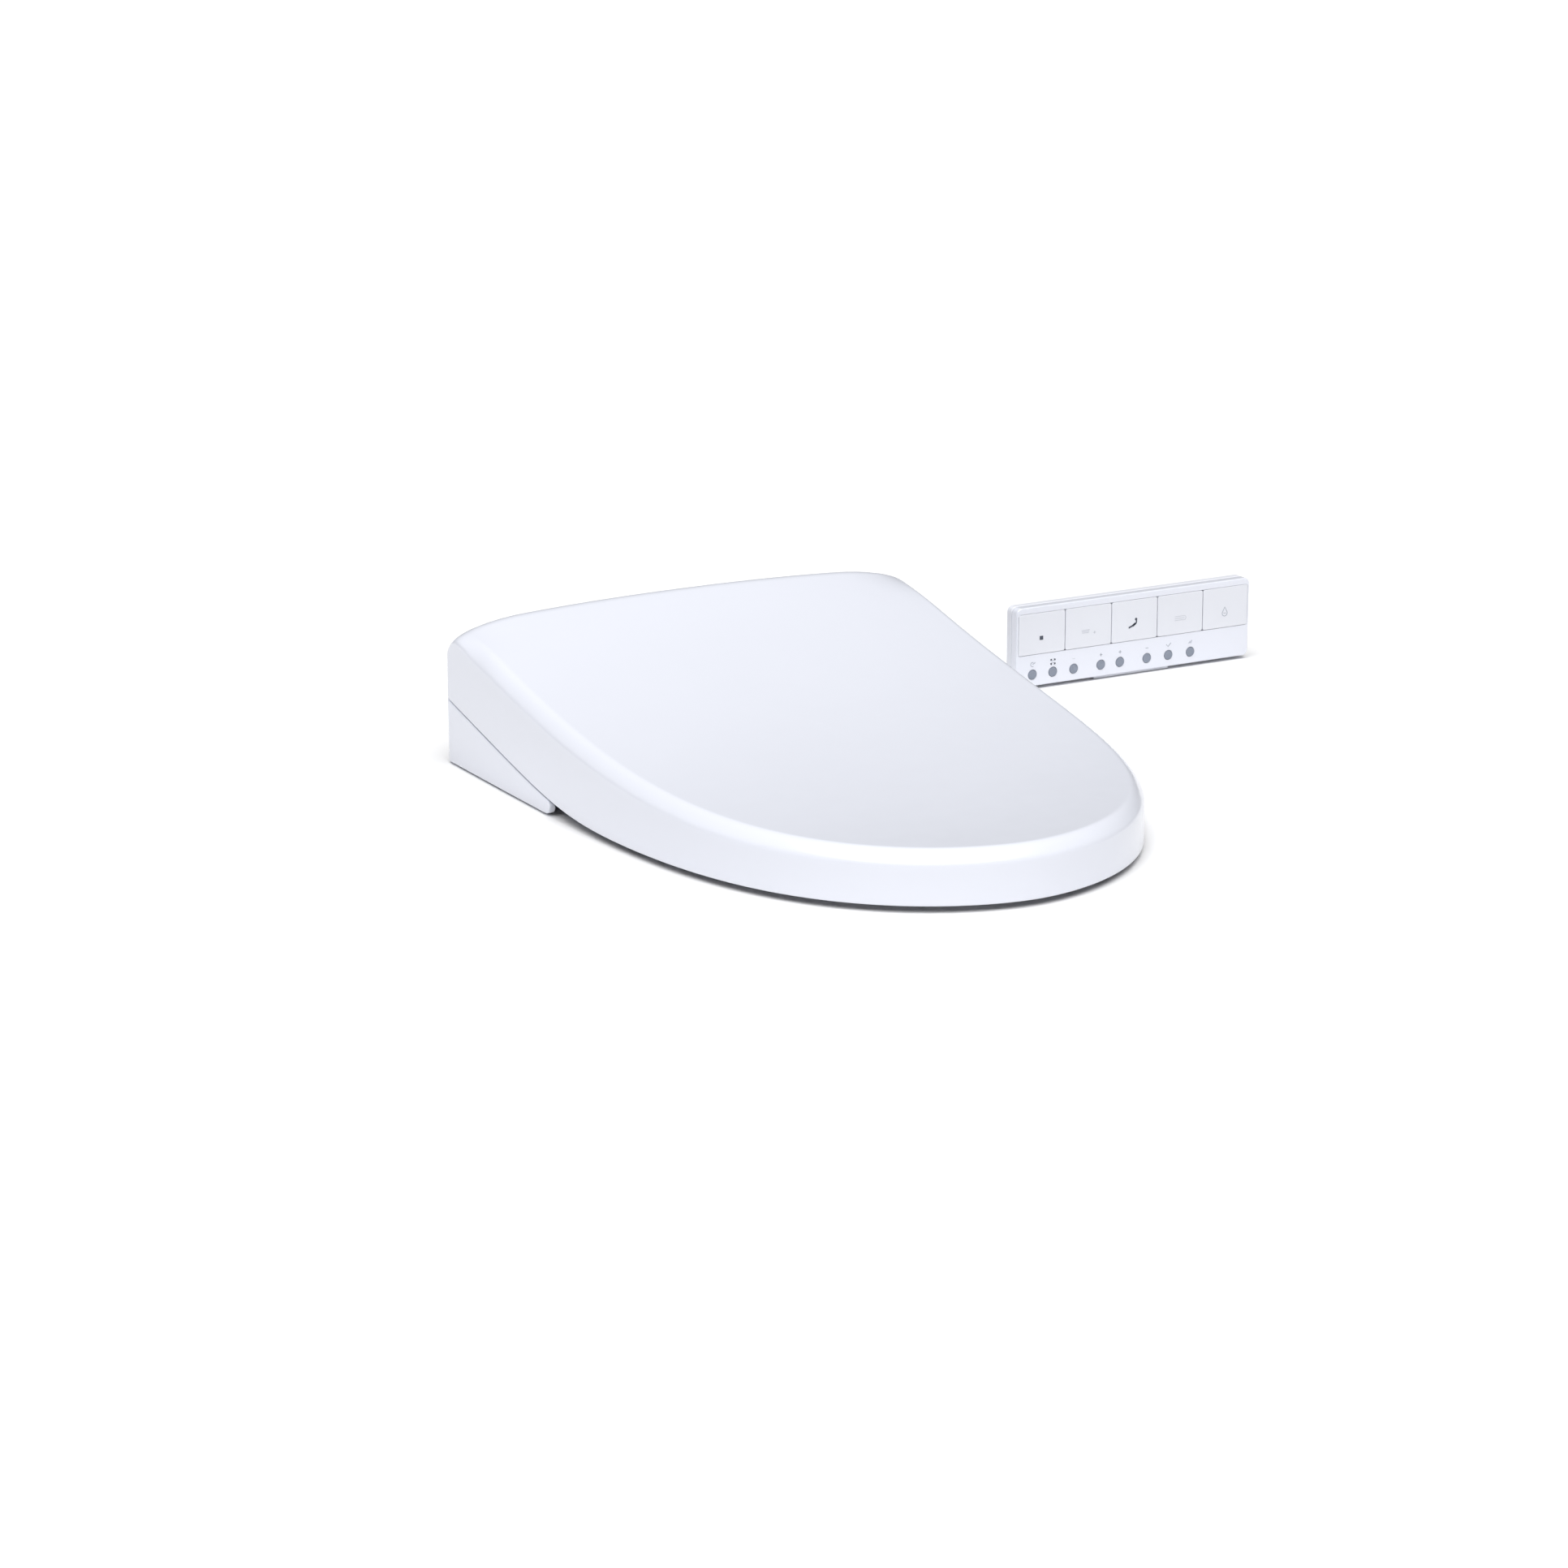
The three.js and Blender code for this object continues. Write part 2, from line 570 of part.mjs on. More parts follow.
function shoulders() {
  const { drop, front, roomFront } = SHOULDERS;
  const back = TRAY.backWall + GAP;
  const sideX = HALF_WIDTH - TRAY.wall - GAP;
  const outside = shoulderShape(CASING_BOTTOM, drop, back, front);
  const inside = shoulderShape(CASING_BOTTOM - 1, drop + WALL, back + WALL, roomFront);
  return {
    body: sideSolid(outside, -sideX, sideX),
    room: sideSolid(inside, WALL - sideX, sideX - WALL),
  };
}

function mainCasing() {
  const hump = sideSolid(humpShape(), -HUMP_HALF_WIDTH, HUMP_HALF_WIDTH);
  const hollow = sideSolid(humpHollow(), WALL - HUMP_HALF_WIDTH, HUMP_HALF_WIDTH - WALL);
  const low = shoulders();
  const bores = [1, -1].map((side) => {
    const [x0, x1] = acrossOn(side, [DAMPER_X[0] - 1, HUMP_HALF_WIDTH + 1]);
    return hingeBar(DAMPER_R + GAP, x0, x1);
  });
  const port = nozzleBar(NOZZLE.radius + 4, -20, 20);
  const dryerPort = block(DRYER.x, [HUMP.frontFace - 3 * WALL, HUMP.frontFace + 3 * WALL], DRYER.z);
  return cut(join(hump, low.body), low.room, hollow, ...bores, port, dryerPort);
}

function mountingPlate(z0, z1) {
  const { halfWidth, s } = PLATE;
  const middle = (s[0] + s[1]) / 2;
  const plate = slab(0, middle, 2 * halfWidth, s[1] - s[0], 6, z0, z1);
  const slots = [1, -1].map((side) => {
    const shape = roundedRectangle(2 * BOLT_SLOT.radius, 2 * BOLT_SLOT.halfLength, BOLT_SLOT.radius - 0.01);
    return planSolid(shape, z0 - 1, z1 + 1).translate([(side * BOLT_SPACING) / 2, 0, 0]);
  });
  return cut(plate, ...slots);
}

function buildMounting() {
  addPiece("mounting_plate", geometryOf(mountingPlate(PLATE.bottom, PLATE.top)), WHITE_SATIN);
  addPiece("plate_gasket", geometryOf(mountingPlate(0, PLATE.gasket)), RUBBER);
}

function buildHinge() {
  for (const [name, side] of SIDES) {
    const pin = hingeBar(PIN_R, ...acrossOn(side, PIN_X));
    const damper = hingeBar(DAMPER_R, ...acrossOn(side, DAMPER_X));
    addPiece(`hinge_pin_${name}`, geometryOf(pin), STEEL);
    addPiece(`hinge_damper_${name}`, geometryOf(damper), DARK_PLASTIC);
  }
}

// A stub through the back wall with a collar outside it, such as a gland or a hose fitting.
function inlet(side, { radius, collarR, reach }) {
  const x = side * INLETS.x;
  const inside = TRAY.backWall - GAP;
  const stub = bar("y", radius, reach + inside, place(x, (inside - reach) / 2, INLETS.z));
  const collarCentre = place(x, -GAP - INLETS.collar / 2, INLETS.z);
  const collar = bar("y", collarR, INLETS.collar, collarCentre, 6 * Math.round(collarR / 3));
  return join(stub, collar);
}

function inletHole(side, { radius }) {
  const centre = place(side * INLETS.x, TRAY.backWall / 2, INLETS.z);
  return bar("y", radius + INLETS.slack, 3 * TRAY.backWall, centre);
}

function buildBase() {
  addPiece("base_tray", geometryOf(baseTray()), WHITE_GLOSS);
  addPiece("main_casing", geometryOf(mainCasing()), WHITE_GLOSS);
  addPiece("power_inlet_gland", geometryOf(inlet(1, POWER_INLET)), DARK_PLASTIC);
  addPiece("water_inlet", geometryOf(inlet(-1, WATER_INLET)), BRASS);
  const button = block([HALF_WIDTH - RELEASE.depth, HALF_WIDTH], RELEASE.s, RELEASE.z);
  addPiece("release_button", geometryOf(button), GREY_PLASTIC);
  for (const [name, side] of SIDES) {
    const height = TRAY.floor[0] - GAP;
    const foot = bar("z", FOOT.radius, height, place(side * FOOT.x, FOOT.s, height / 2), 16);
    addPiece(`base_foot_${name}`, geometryOf(foot), RUBBER);
  }
  const sensorBack = HUMP.frontFace + GAP + 0.1;
  const sensor = block(SENSOR.x, [sensorBack, sensorBack + SENSOR.thickness], SENSOR.z);
  addPiece("sensor_window", geometryOf(sensor), DARK_PLASTIC);
  addPiece("status_panel", geometryOf(statusPanel()), DARK_PLASTIC);
}

// A thin panel on the sloping top of the casing.
function statusPanel() {
  const slope = (HUMP.back[1] - HUMP.front[1]) / (HUMP.front[0] - HUMP.back[0]);
  const topAt = (s) => HUMP.back[1] - slope * (s - HUMP.back[0]) + GAP;
  const [back, front] = PANEL.s;
  const shape = new THREE.Shape();
  shape.moveTo(back, topAt(back));
  shape.lineTo(back, topAt(back) + PANEL.thickness);
  shape.lineTo(front, topAt(front) + PANEL.thickness);
  shape.lineTo(front, topAt(front));
  return sideSolid(shape, -PANEL.halfWidth, PANEL.halfWidth);
}

// ---- Washing and drying parts inside the casing --------------------------------------------------------

// A round bar along the nozzle's line; distances are measured forwards from the port.
function nozzleBar(radius, from, to, sides = 20) {
  const length = to - from;
  const geometry = new THREE.CylinderGeometry(radius, radius, length, sides);
  geometry.translate(0, -(from + to) / 2, 0);
  geometry.rotateX(NOZZLE.tilt);
  const port = place(0, ...NOZZLE.port);
  return solid(geometry.translate(port.x, port.y, port.z));
}

// The wand's centre height at a place along the seat.
const nozzleZ = (s) => NOZZLE.port[1] + (NOZZLE.port[0] - s) * Math.tan(NOZZLE.tilt);

function nozzleTip() {
  const { radius, tip } = NOZZLE;
  const nose = [[radius, tip - 4], [radius - 1.5, tip - 1.2], [radius - 4, tip]];
  const profile = [[0, 0], [radius, 0], ...nose, [0, tip]];
  const points = profile.map(([r, y]) => new THREE.Vector2(r, y));
  const geometry = new THREE.LatheGeometry(points, 20);
  geometry.rotateX(Math.PI + NOZZLE.tilt);
  const back = place(0, NOZZLE.port[0], NOZZLE.port[1]);
  back.y += tip * Math.cos(NOZZLE.tilt);
  back.z += tip * Math.sin(NOZZLE.tilt);
  return solid(geometry.translate(back.x, back.y, back.z));
}

function buildNozzle() {
  const { radius, length, tip } = NOZZLE;
  addPiece("nozzle_wand", geometryOf(nozzleBar(radius, -length, -tip - GAP)), WHITE_SATIN);
  addPiece("nozzle_tip", geometryOf(nozzleTip()), STEEL);
  const sleeve = cut(nozzleBar(radius + 3, -48, -5), nozzleBar(radius + 0.5, -49, -4));
  addPiece("nozzle_sleeve", geometryOf(sleeve), GREY_PLASTIC);
  const wiper = cut(nozzleBar(radius + 3.6, -3, 0), nozzleBar(radius + 0.5, -4, 1));
  addPiece("nozzle_wiper", geometryOf(wiper), RUBBER);
  const rollerZ = nozzleZ(ROLLER.s) + (radius + ROLLER.radius + GAP) / Math.cos(NOZZLE.tilt);
  const roller = bar("x", ROLLER.radius, 2 * ROLLER.halfWidth, place(0, ROLLER.s, rollerZ));
  addPiece("nozzle_drive_roller", geometryOf(roller), RUBBER);
  const motorX = ROLLER.halfWidth + GAP;
  const motor = bar("x", 10, 24, place(motorX + 12, ROLLER.s, rollerZ));
  addPiece("nozzle_motor", geometryOf(motor), STEEL);
}

function fanRotor() {
  const blades = 12;
  const [low, high] = [FAN.bottom + WALL + 1, FAN.top - 4];
  const hub = bar("z", 9, high - low, place(FAN.x, FAN.s, (low + high) / 2), 20);
  const disc = bar("z", 26, 2, place(FAN.x, FAN.s, low + 1), 32);
  const centre = place(FAN.x, FAN.s, 0);
  const wings = Array.from({ length: blades }, (_, i) => {
    const geometry = new THREE.BoxGeometry(10, 1.4, high - low - 0.5);
    geometry.rotateZ(0.7).translate(21, 0, (low + high) / 2 + 0.1).rotateZ((2 * Math.PI * i) / blades);
    return solid(geometry.translate(centre.x, centre.y, 0));
  });
  return join(hub, disc, ...wings);
}

function fanHousing() {
  const { x, s, radius, bottom, top } = FAN;
  const middle = (bottom + top) / 2;
  const drum = bar("z", radius, top - bottom, place(x, s, middle), 32);
  const room = bar("z", radius - WALL, top - bottom, place(x, s, middle + WALL), 32);
  return cut(drum, room, block(FAN_OUTLET.x, [s + 10, s + 48], FAN_OUTLET.z));
}

// A short duct from the fan housing to the port in the casing.
function dryerDuct() {
  const { s, wall } = DUCT;
  const [x0, x1] = DRYER.x;
  const [z0, z1] = DRYER.z;
  const outside = block([x0 - wall, x1 + wall], s, [z0 - 0.8, z1 + 2 * wall]);
  const inside = block([x0 + wall, x1 - wall], [s[0] - 5, s[1] + 5], [z0 + wall, z1]);
  return cut(outside, inside, bar("z", FAN.radius + GAP, 60, place(FAN.x, FAN.s, 30), 32));
}

function dryerFlap() {
  const { x, z, flap, hingeR } = DRYER;
  const back = HUMP.frontFace + GAP;
  const plate = block([x[0] - 1, x[1] + 1], [back, back + flap], [z[0] - 0.6, z[1]]);
  const middle = place((x[0] + x[1]) / 2, back + hingeR, z[1] + hingeR / 2);
  return join(plate, bar("x", hingeR, x[1] - x[0] + 2, middle, 12));
}

function waterHeater() {
  const { x, s, width, depth, z, portX } = HEATER;
  const body = slab(x, s, width, depth, 8, ...z);
  const ports = portX.map((across) => bar("y", 4, 10, place(across, s + 36, z[1] - 9), 12));
  return join(body, ...ports);
}

function valveBlock() {
  const { x, s, z, coilX } = VALVES;
  const body = block(x, s, z);
  const coils = coilX.map((across) => bar("z", 5, 14, place(across, (s[0] + s[1]) / 2, z[1] + 6), 16));
  return join(body, ...coils);
}

function buildInsides() {
  addPiece("water_heater", geometryOf(waterHeater()), STEEL);
  addPiece("valve_block", geometryOf(valveBlock()), BRASS);
  addPiece("control_board", geometryOf(block(BOARD.x, BOARD.s, BOARD.z)), BOARD_GREEN);
  addPiece("fan_housing", geometryOf(fanHousing()), GREY_PLASTIC);
  addPiece("fan_rotor", geometryOf(fanRotor()), DARK_PLASTIC);
  addPiece("dryer_duct", geometryOf(dryerDuct()), GREY_PLASTIC);
  addPiece("dryer_flap", geometryOf(dryerFlap()), WHITE_SATIN);
  const filter = slab(FILTER.x, FILTER.s, FILTER.width, FILTER.depth, 4, ...FILTER.z);
  addPiece("deodorizer_cartridge", geometryOf(filter), GREY_PLASTIC);
}

// ---- Remote --------------------------------------------------------------------------------------------

// The remote stands upright in its wall bracket. It is drawn lying on its back, x along its keys,
// y up its face and z out of its face, in a group that stands it up.
const remote = new THREE.Group();
remote.rotation.x = Math.PI / 2;
remote.position.copy(place(REMOTE.x, REMOTE.wall, REMOTE.depth / 2 + BRACKET.ledge + GAP));
model.add(remote);

const keyPlaces = Array.from({ length: KEY.count }, (_, i) => (i - (KEY.count - 1) / 2) * KEY.pitch);

// A rounded slab on the remote, centred on (x, y).
function plate(x, y, width, depth, radius, z0, z1) {
  return planSolid(roundedRectangle(width, depth, radius), z0, z1).translate([x, y, 0]);
}

function peg(x, y, radius, z0, z1) {
  return bar("z", radius, z1 - z0, new THREE.Vector3(x, y, (z0 + z1) / 2), BUTTON.sides);
}

function remoteFront() {
  const { width, depth, cornerR, split, top, wall } = REMOTE_CASE;
  const face = plate(0, 0, width, depth, cornerR, split + GAP, top);
  const room = plate(0, 0, width - 2 * wall, depth - 2 * wall, cornerR - 2, split, KEY_BOTTOM + 2);
  const slack = 2 * GAP;
  const keysWidth = (KEY.count - 1) * KEY.pitch + KEY.width + slack;
  const keyHole = plate(0, KEY.y, keysWidth, KEY.depth + slack, KEY.cornerR + GAP, split, top + 1);
  const buttonHoles = BUTTON_PLACES.map((x) => peg(x, BUTTON.y, BUTTON.radius + GAP, split, top + 1));
  return cut(face, room, keyHole, ...buttonHoles);
}

function remoteBack() {
  const { width, depth, cornerR, bottom, split, wall } = REMOTE_CASE;
  const shell = plate(0, 0, width, depth, cornerR, bottom, split);
  const room = plate(0, 0, width - 2 * wall, depth - 2 * wall, cornerR - 2, bottom + 2, split + 1);
  const hatch = plate(HATCH.x, 0, HATCH.width, HATCH.depth, HATCH.cornerR, bottom - 1, bottom + 3);
  return cut(shell, room, hatch);
}

function batteryCover() {
  const { bottom } = REMOTE_CASE;
  const slack = 2 * GAP;
  const [width, depth] = [HATCH.width - slack, HATCH.depth - slack];
  return plate(HATCH.x, 0, width, depth, HATCH.cornerR - GAP, bottom, bottom + 1.7);
}

// A plate on the wall with a ledge under the remote.
function wallBracket() {
  const { width, height, ledge, reach } = BRACKET;
  const foot = -REMOTE_CASE.depth / 2 - GAP - ledge;
  const back = REMOTE_CASE.bottom - GAP;
  const backPlate = plate(0, foot + height / 2, width, height, 1.5, 0, back);
  return join(backPlate, plate(0, foot + ledge / 2, width, ledge, 0.5, 0, reach));
}

function buildRemote() {
  const { top } = REMOTE_CASE;
  addPiece("remote_wall_bracket", geometryOf(wallBracket()), WHITE_SATIN, remote);
  addPiece("remote_back_case", geometryOf(remoteBack()), WHITE_SATIN, remote);
  addPiece("remote_front_case", geometryOf(remoteFront()), WHITE_GLOSS, remote);
  addPiece("remote_battery_cover", geometryOf(batteryCover()), WHITE_SATIN, remote);
  const board = plate(0, 0, REMOTE_BOARD.width, REMOTE_BOARD.depth, 2, ...REMOTE_BOARD.z);
  addPiece("remote_board", geometryOf(board), BOARD_GREEN, remote);
  keyPlaces.forEach((x, i) => {
    const key = plate(x, KEY.y, KEY.width, KEY.depth, KEY.cornerR, KEY_BOTTOM, top + KEY.proud);
    addPiece(`remote_key_${i + 1}`, geometryOf(key), WHITE_SATIN, remote);
  });
  BUTTON_PLACES.forEach((x, i) => {
    const button = peg(x, BUTTON.y, BUTTON.radius, KEY_BOTTOM, top + BUTTON.proud);
    addPiece(`remote_button_${i + 1}`, geometryOf(button), BUTTON_BLUE, remote);
  });
}

buildMounting();
buildBase();
buildHinge();
buildInsides();
buildNozzle();
buildSeat();
buildLid();
buildRemote();

export default model;
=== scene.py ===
"""The looks of an electric bidet seat with its remote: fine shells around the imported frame.

Shapes are drawn in millimetres, as x across, s forwards from the back of the lid and z up, and
turned into metres of the frame when they become meshes. The remote has axes of its own: x along
its keys, y up its face and z out of its face.
"""

import math

import bmesh
import bpy
from mathutils import Matrix, Vector


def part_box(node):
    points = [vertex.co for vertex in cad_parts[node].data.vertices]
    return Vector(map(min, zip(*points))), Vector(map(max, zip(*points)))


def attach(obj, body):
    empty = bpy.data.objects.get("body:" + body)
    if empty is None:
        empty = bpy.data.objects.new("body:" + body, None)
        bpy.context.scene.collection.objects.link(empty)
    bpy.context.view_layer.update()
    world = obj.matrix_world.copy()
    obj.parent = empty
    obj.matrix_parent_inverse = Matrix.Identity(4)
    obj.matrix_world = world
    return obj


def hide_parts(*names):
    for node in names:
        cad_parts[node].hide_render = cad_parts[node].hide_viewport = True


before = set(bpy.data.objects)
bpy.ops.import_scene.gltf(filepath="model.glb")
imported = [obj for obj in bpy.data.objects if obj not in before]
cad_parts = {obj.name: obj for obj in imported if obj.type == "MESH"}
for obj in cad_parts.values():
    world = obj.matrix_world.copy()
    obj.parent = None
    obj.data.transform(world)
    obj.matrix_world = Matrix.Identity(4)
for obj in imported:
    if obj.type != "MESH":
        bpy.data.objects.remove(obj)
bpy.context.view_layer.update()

MM = 0.001

# ---- Sizes shared with the frame -------------------------

WALL = 3.0
BOLTS_TO_BACK = 54.0

LENGTH = 523.0
HALF_WIDTH = 192.0
FLARE = 0.01
ALONG_POWER = 4.58
ACROSS_POWER = 1.82
CORNER_R = 8.0
BACK_HEIGHT = 112.7
FRONT_HEIGHT = 42.8
TOP_SAG = 20.9
CROWN = 8.0
CROWN_POWER = 2.2
BEVEL_WIDTH = 11.0
BEVEL_DROP = 9.3
BEVEL_POWER = 1.8
BEVEL_FADE = (15.0, 60.0)
SHOULDER_DEPTH = 27.0
SHOULDER_FOOT = 59.0
SHOULDER_POWER = 2.33
CORNER_DROP = 16.0
CORNER_WIDTH = 58.0
CORNER_REACH = 40.0

LID_EDGE_R = 1.6
LID_RIM_R = 0.9
LID_FLAT_FROM = 42.0
LID_EXTRA_INSETS = (33.0, 37.5, LID_FLAT_FROM)

HINGE_S = 16.0
HINGE_Z = 72.0
EYE_R = 9.0
BORE_R = 4.4
SEAT_ARM_X = (151.0, 165.0)
LID_LUG_X = (168.0, 178.0)

SWING_R = 24.4
SPLIT_HEIGHT = 50.7
SPLIT_SLOPE = 0.235
SPLIT_LIP = 4.5
SPLIT_SOFTNESS = 6.0
SPLIT_GAP = 1.2

TRAY_WALL = 4.7
TRAY_BACK_WALL = 3.9
TRAY_UNDERSIDE = 1.2
TRAY_FLOOR = (7.0, 10.0)
TRAY_FLOOR_FRONT = 158.0
TRAY_NOSE = 172.0
NOSE_LENGTH = 7.0
PLATE_WAY = 112.0
TRAY_EDGE_R = 0.8
RIB_PLACES = (-168, -144, -124, 124, 144, 168)
RIB_FRONT = 150
RIB_BOTTOM = 2.5
VENT_PLACES = [60 + 6 * i for i in range(9)]
VENT_WIDTH = 2.4
VENT_HEIGHTS = (20, 38)
RELEASE_SLACK = 0.4

HUMP_HALF_WIDTH = 148.0
HUMP_BACK = (48.0, 87.0)
HUMP_FRONT = (147.0, 66.0)
HUMP_FACE = 159.0
HUMP_CORNER_Z = 54.0
HUMP_ROOM_BACK = 8
HUMP_ROOM_COVE = 44
HUMP_ROOM_CREST = 51
CASING_BOTTOM = 10.4
CASING_BACK = 4.2
CASING_SIDE = 187.0
SHOULDER_GAP = 2.4
SHOULDER_FRONT = 150.0
SHOULDER_ROOM_FRONT = 128.0
DAMPER_BORE_R = 6.3
DAMPER_START = 105
COVE_R = 26.4
PANEL_S = 130.0
LAMP_PLACES = (-20, -10, 0)

SEAT_BACK = 166.0
SEAT_INSET = 9.0
SEAT_CORNER_R = 20.0
SEAT_WALL_BOTTOM = 12.0
SEAT_CROWN = 36.0
SEAT_RISE = 4.0
SEAT_LOWER = (9.3, 11.7)
SEAT_LOWER_EDGE = 0.7
HOLE_S = 331.0
HOLE_HALF_WIDTH = 104.0
HOLE_HALF_LENGTH = 129.0
NOTCH = ((-92.0, 92.0), (160.0, 208.0), (-1.0, 28.0))
ARM_TOP = [(178, 34), (45, 76)]
ARM_UNDER = [(44, 63), (178, 18)]
ARM_EYE_TURN = (82, 337)

PORT_S = 157.0
PORT_Z = 20.0
NOZZLE_TILT = math.radians(8)
NOZZLE_R = 6.0
NOZZLE_LENGTH = 104.0
NOZZLE_TIP = 22.0
NOZZLE_NOSE_R = 4.0
NOZZLE_JETS = ((-8, 1.0), (-12, 0.6), (-15, 0.6))  # (place along the wand, radius)
DRYER_PORT = ((50.0, 82.0), (150.0, 170.0), (12.0, 26.0))

REMOTE_AXES = Matrix(((1, 0, 0), (0, 0, -1), (0, 1, 0)))
REMOTE_BACK_LIFT = 2.4
REMOTE_CORNER_R = 5
FACE_EDGE_R = 1.1
MARK_HEIGHT = 0.12
KEY_MARK_Y = 6.5
GLYPH_RISE = 8.2
KEYS = [f"remote_key_{i}" for i in range(1, 6)]
BUTTONS = [f"remote_button_{i}" for i in range(1, 9)]


# ---- Meshes ----------------------------------------------


def place(x, s, z):
    """The point x across, s forwards from the lid's back and z up, in the frame."""
    return Vector((x, BOLTS_TO_BACK - s, z)) * MM


def add_object(name, data):
    made = bpy.data.objects.new(name, data)
    bpy.context.scene.collection.objects.link(made)
    return made


def mesh_object(name, points, faces):
    mesh = bpy.data.meshes.new(name)
    mesh.from_pydata([tuple(p) for p in points], [], faces)
    made = add_object(name, mesh)
    outwards(made)
    return made


def outwards(made):
    """Turns every face of a closed mesh outwards."""
    work = bmesh.new()
    work.from_mesh(made.data)
    bmesh.ops.remove_doubles(work, verts=work.verts, dist=1e-7)
    bmesh.ops.recalc_face_normals(work, faces=work.faces)
    work.to_mesh(made.data)
    work.free()


def skin(rings, loop=False):
    """Points and faces of a closed skin over rings of points. As a loop the last ring meets the first."""
    count = len(rings[0])
    points = [p for ring in rings for p in ring]
    faces = []
    for i in range(len(rings) if loop else len(rings) - 1):
        here, there = i * count, ((i + 1) % len(rings)) * count
        for k in range(count):
            after = (k + 1) % count
            faces.append((here + k, here + after, there + after, there + k))
    if not loop:
        for ring, start in ((rings[0], 0), (rings[-1], (len(rings) - 1) * count)):
            hub = len(points)
            points.append(sum(ring, Vector()) / count)
            faces += [(start + k, start + (k + 1) % count, hub) for k in range(count)]
    return points, faces


def bake(made):
    """Applies the modifiers of a new piece."""
    graph = bpy.context.evaluated_depsgraph_get()
    mesh = bpy.data.meshes.new_from_object(made.evaluated_get(graph))
    made.modifiers.clear()
    made.data = mesh


def combine(made, tool, operation):
    """Cuts the tool out of a piece, or joins it on, and removes the tool."""
    modifier = made.modifiers.new("combine", "BOOLEAN")
    modifier.operation = operation
    modifier.solver = "EXACT"
    modifier.object = tool
    bake(made)
    bpy.data.objects.remove(tool, do_unlink=True)


def carve(made, *tools):
    for tool in tools:
        combine(made, tool, "DIFFERENCE")
    return made


def weld(made, *tools):
    for tool in tools:
        combine(made, tool, "UNION")
    return made


def bevel(made, radius, segments, angle):
    modifier = made.modifiers.new("edges", "BEVEL")
    modifier.width = radius * MM
    modifier.segments = segments
    modifier.limit_method = "ANGLE"
    modifier.angle_limit = math.radians(angle)


def round_edges(made, radius, segments=3, angle=50):
    bevel(made, radius, segments, angle)
    bake(made)
    return made


def smooth(made, angle=38):
    """Shades a piece smooth, but keeps the edges that are sharper than the angle."""
    mesh = made.data
    mesh.shade_smooth()
    mesh.set_sharp_from_angle(angle=math.radians(angle))
    return made


def dress(made, body, slot, replaced=()):
    """Finishes a piece: its shading, material, body and the frame nodes that it stands for."""
    made.data.materials.clear()
    made.data.materials.append(MATERIALS[slot])
    smooth(made)
    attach(made, body)
    if replaced:
        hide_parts(*replaced)
    return made


def flat_normals(made):
    """Keeps large flat faces flat next to rounded edges."""
    modifier = made.modifiers.new("normals", "WEIGHTED_NORMAL")
    modifier.keep_sharp = True
    return made


def block(x_range, s_range, z_range):
    corners = [place(x, s, z) for z in z_range for x, s in rectangle(x_range, s_range)]
    points, faces = skin([corners[:4], corners[4:]])
    return mesh_object("tool", points, faces)


def rectangle(x_range, s_range):
    (x0, x1), (s0, s1) = x_range, s_range
    return [(x0, s0), (x1, s0), (x1, s1), (x0, s1)]


def prism(outline, x_range):
    """A side-view outline of (s, z) points, pulled across the seat."""
    sides = [[place(x, s, z) for s, z in outline] for x in x_range]
    count = len(outline)
    points = sides[0] + sides[1]
    faces = [(k, (k + 1) % count, count + (k + 1) % count, count + k) for k in range(count)]
    faces += [tuple(range(count)), tuple(range(count, 2 * count))]
    return mesh_object("tool", points, faces)


def arc(centre, radius, start, end, steps=24):
    """Points of an arc from one angle to another, in degrees."""
    turns = [math.radians(start + (end - start) * i / steps) for i in range(steps + 1)]
    return [(centre[0] + radius * math.cos(t), centre[1] + radius * math.sin(t)) for t in turns]


def turned(profile, matrix, sides=48, loop=False):
    """A profile of (radius, height) points turned about an axis; a matrix in mm puts it in place.

    A looped profile closes on itself, and makes a ring.
    """
    rings = []
    for radius, height in profile:
        turns = [2 * math.pi * k / sides for k in range(sides)]
        ring = [Vector((radius * math.cos(t), radius * math.sin(t), height)) for t in turns]
        rings.append([(matrix @ p) * MM for p in ring])
    return mesh_object("turned", *skin(rings, loop))


def bore(profile_radius, x_range):
    """A round tool along the hinge."""
    matrix = axis_matrix("x", place(0, HINGE_S, HINGE_Z) / MM)
    return turned([(profile_radius, x_range[0]), (profile_radius, x_range[1])], matrix)


def axis_matrix(axis, centre):
    """Puts a turned shape's axis along x, y or z through a point, both in mm."""
    turns = {
        "x": Matrix.Rotation(math.pi / 2, 4, "Y"),
        "y": Matrix.Rotation(-math.pi / 2, 4, "X"),
        "z": Matrix.Identity(4),
    }
    return Matrix.Translation(centre) @ turns[axis]


def quarter_turn(steps):
    return [math.pi / 2 * i / steps for i in range(steps + 1)]


def rounded_rectangle(width, depth, radius, steps=8):
    """Points of a rounded rectangle about the origin."""
    points = []
    for index, (sx, sy) in enumerate(((1, 1), (-1, 1), (-1, -1), (1, -1))):
        centre = (sx * (width / 2 - radius), sy * (depth / 2 - radius))
        points += arc(centre, radius, 90 * index, 90 * index + 90, steps)
    return points


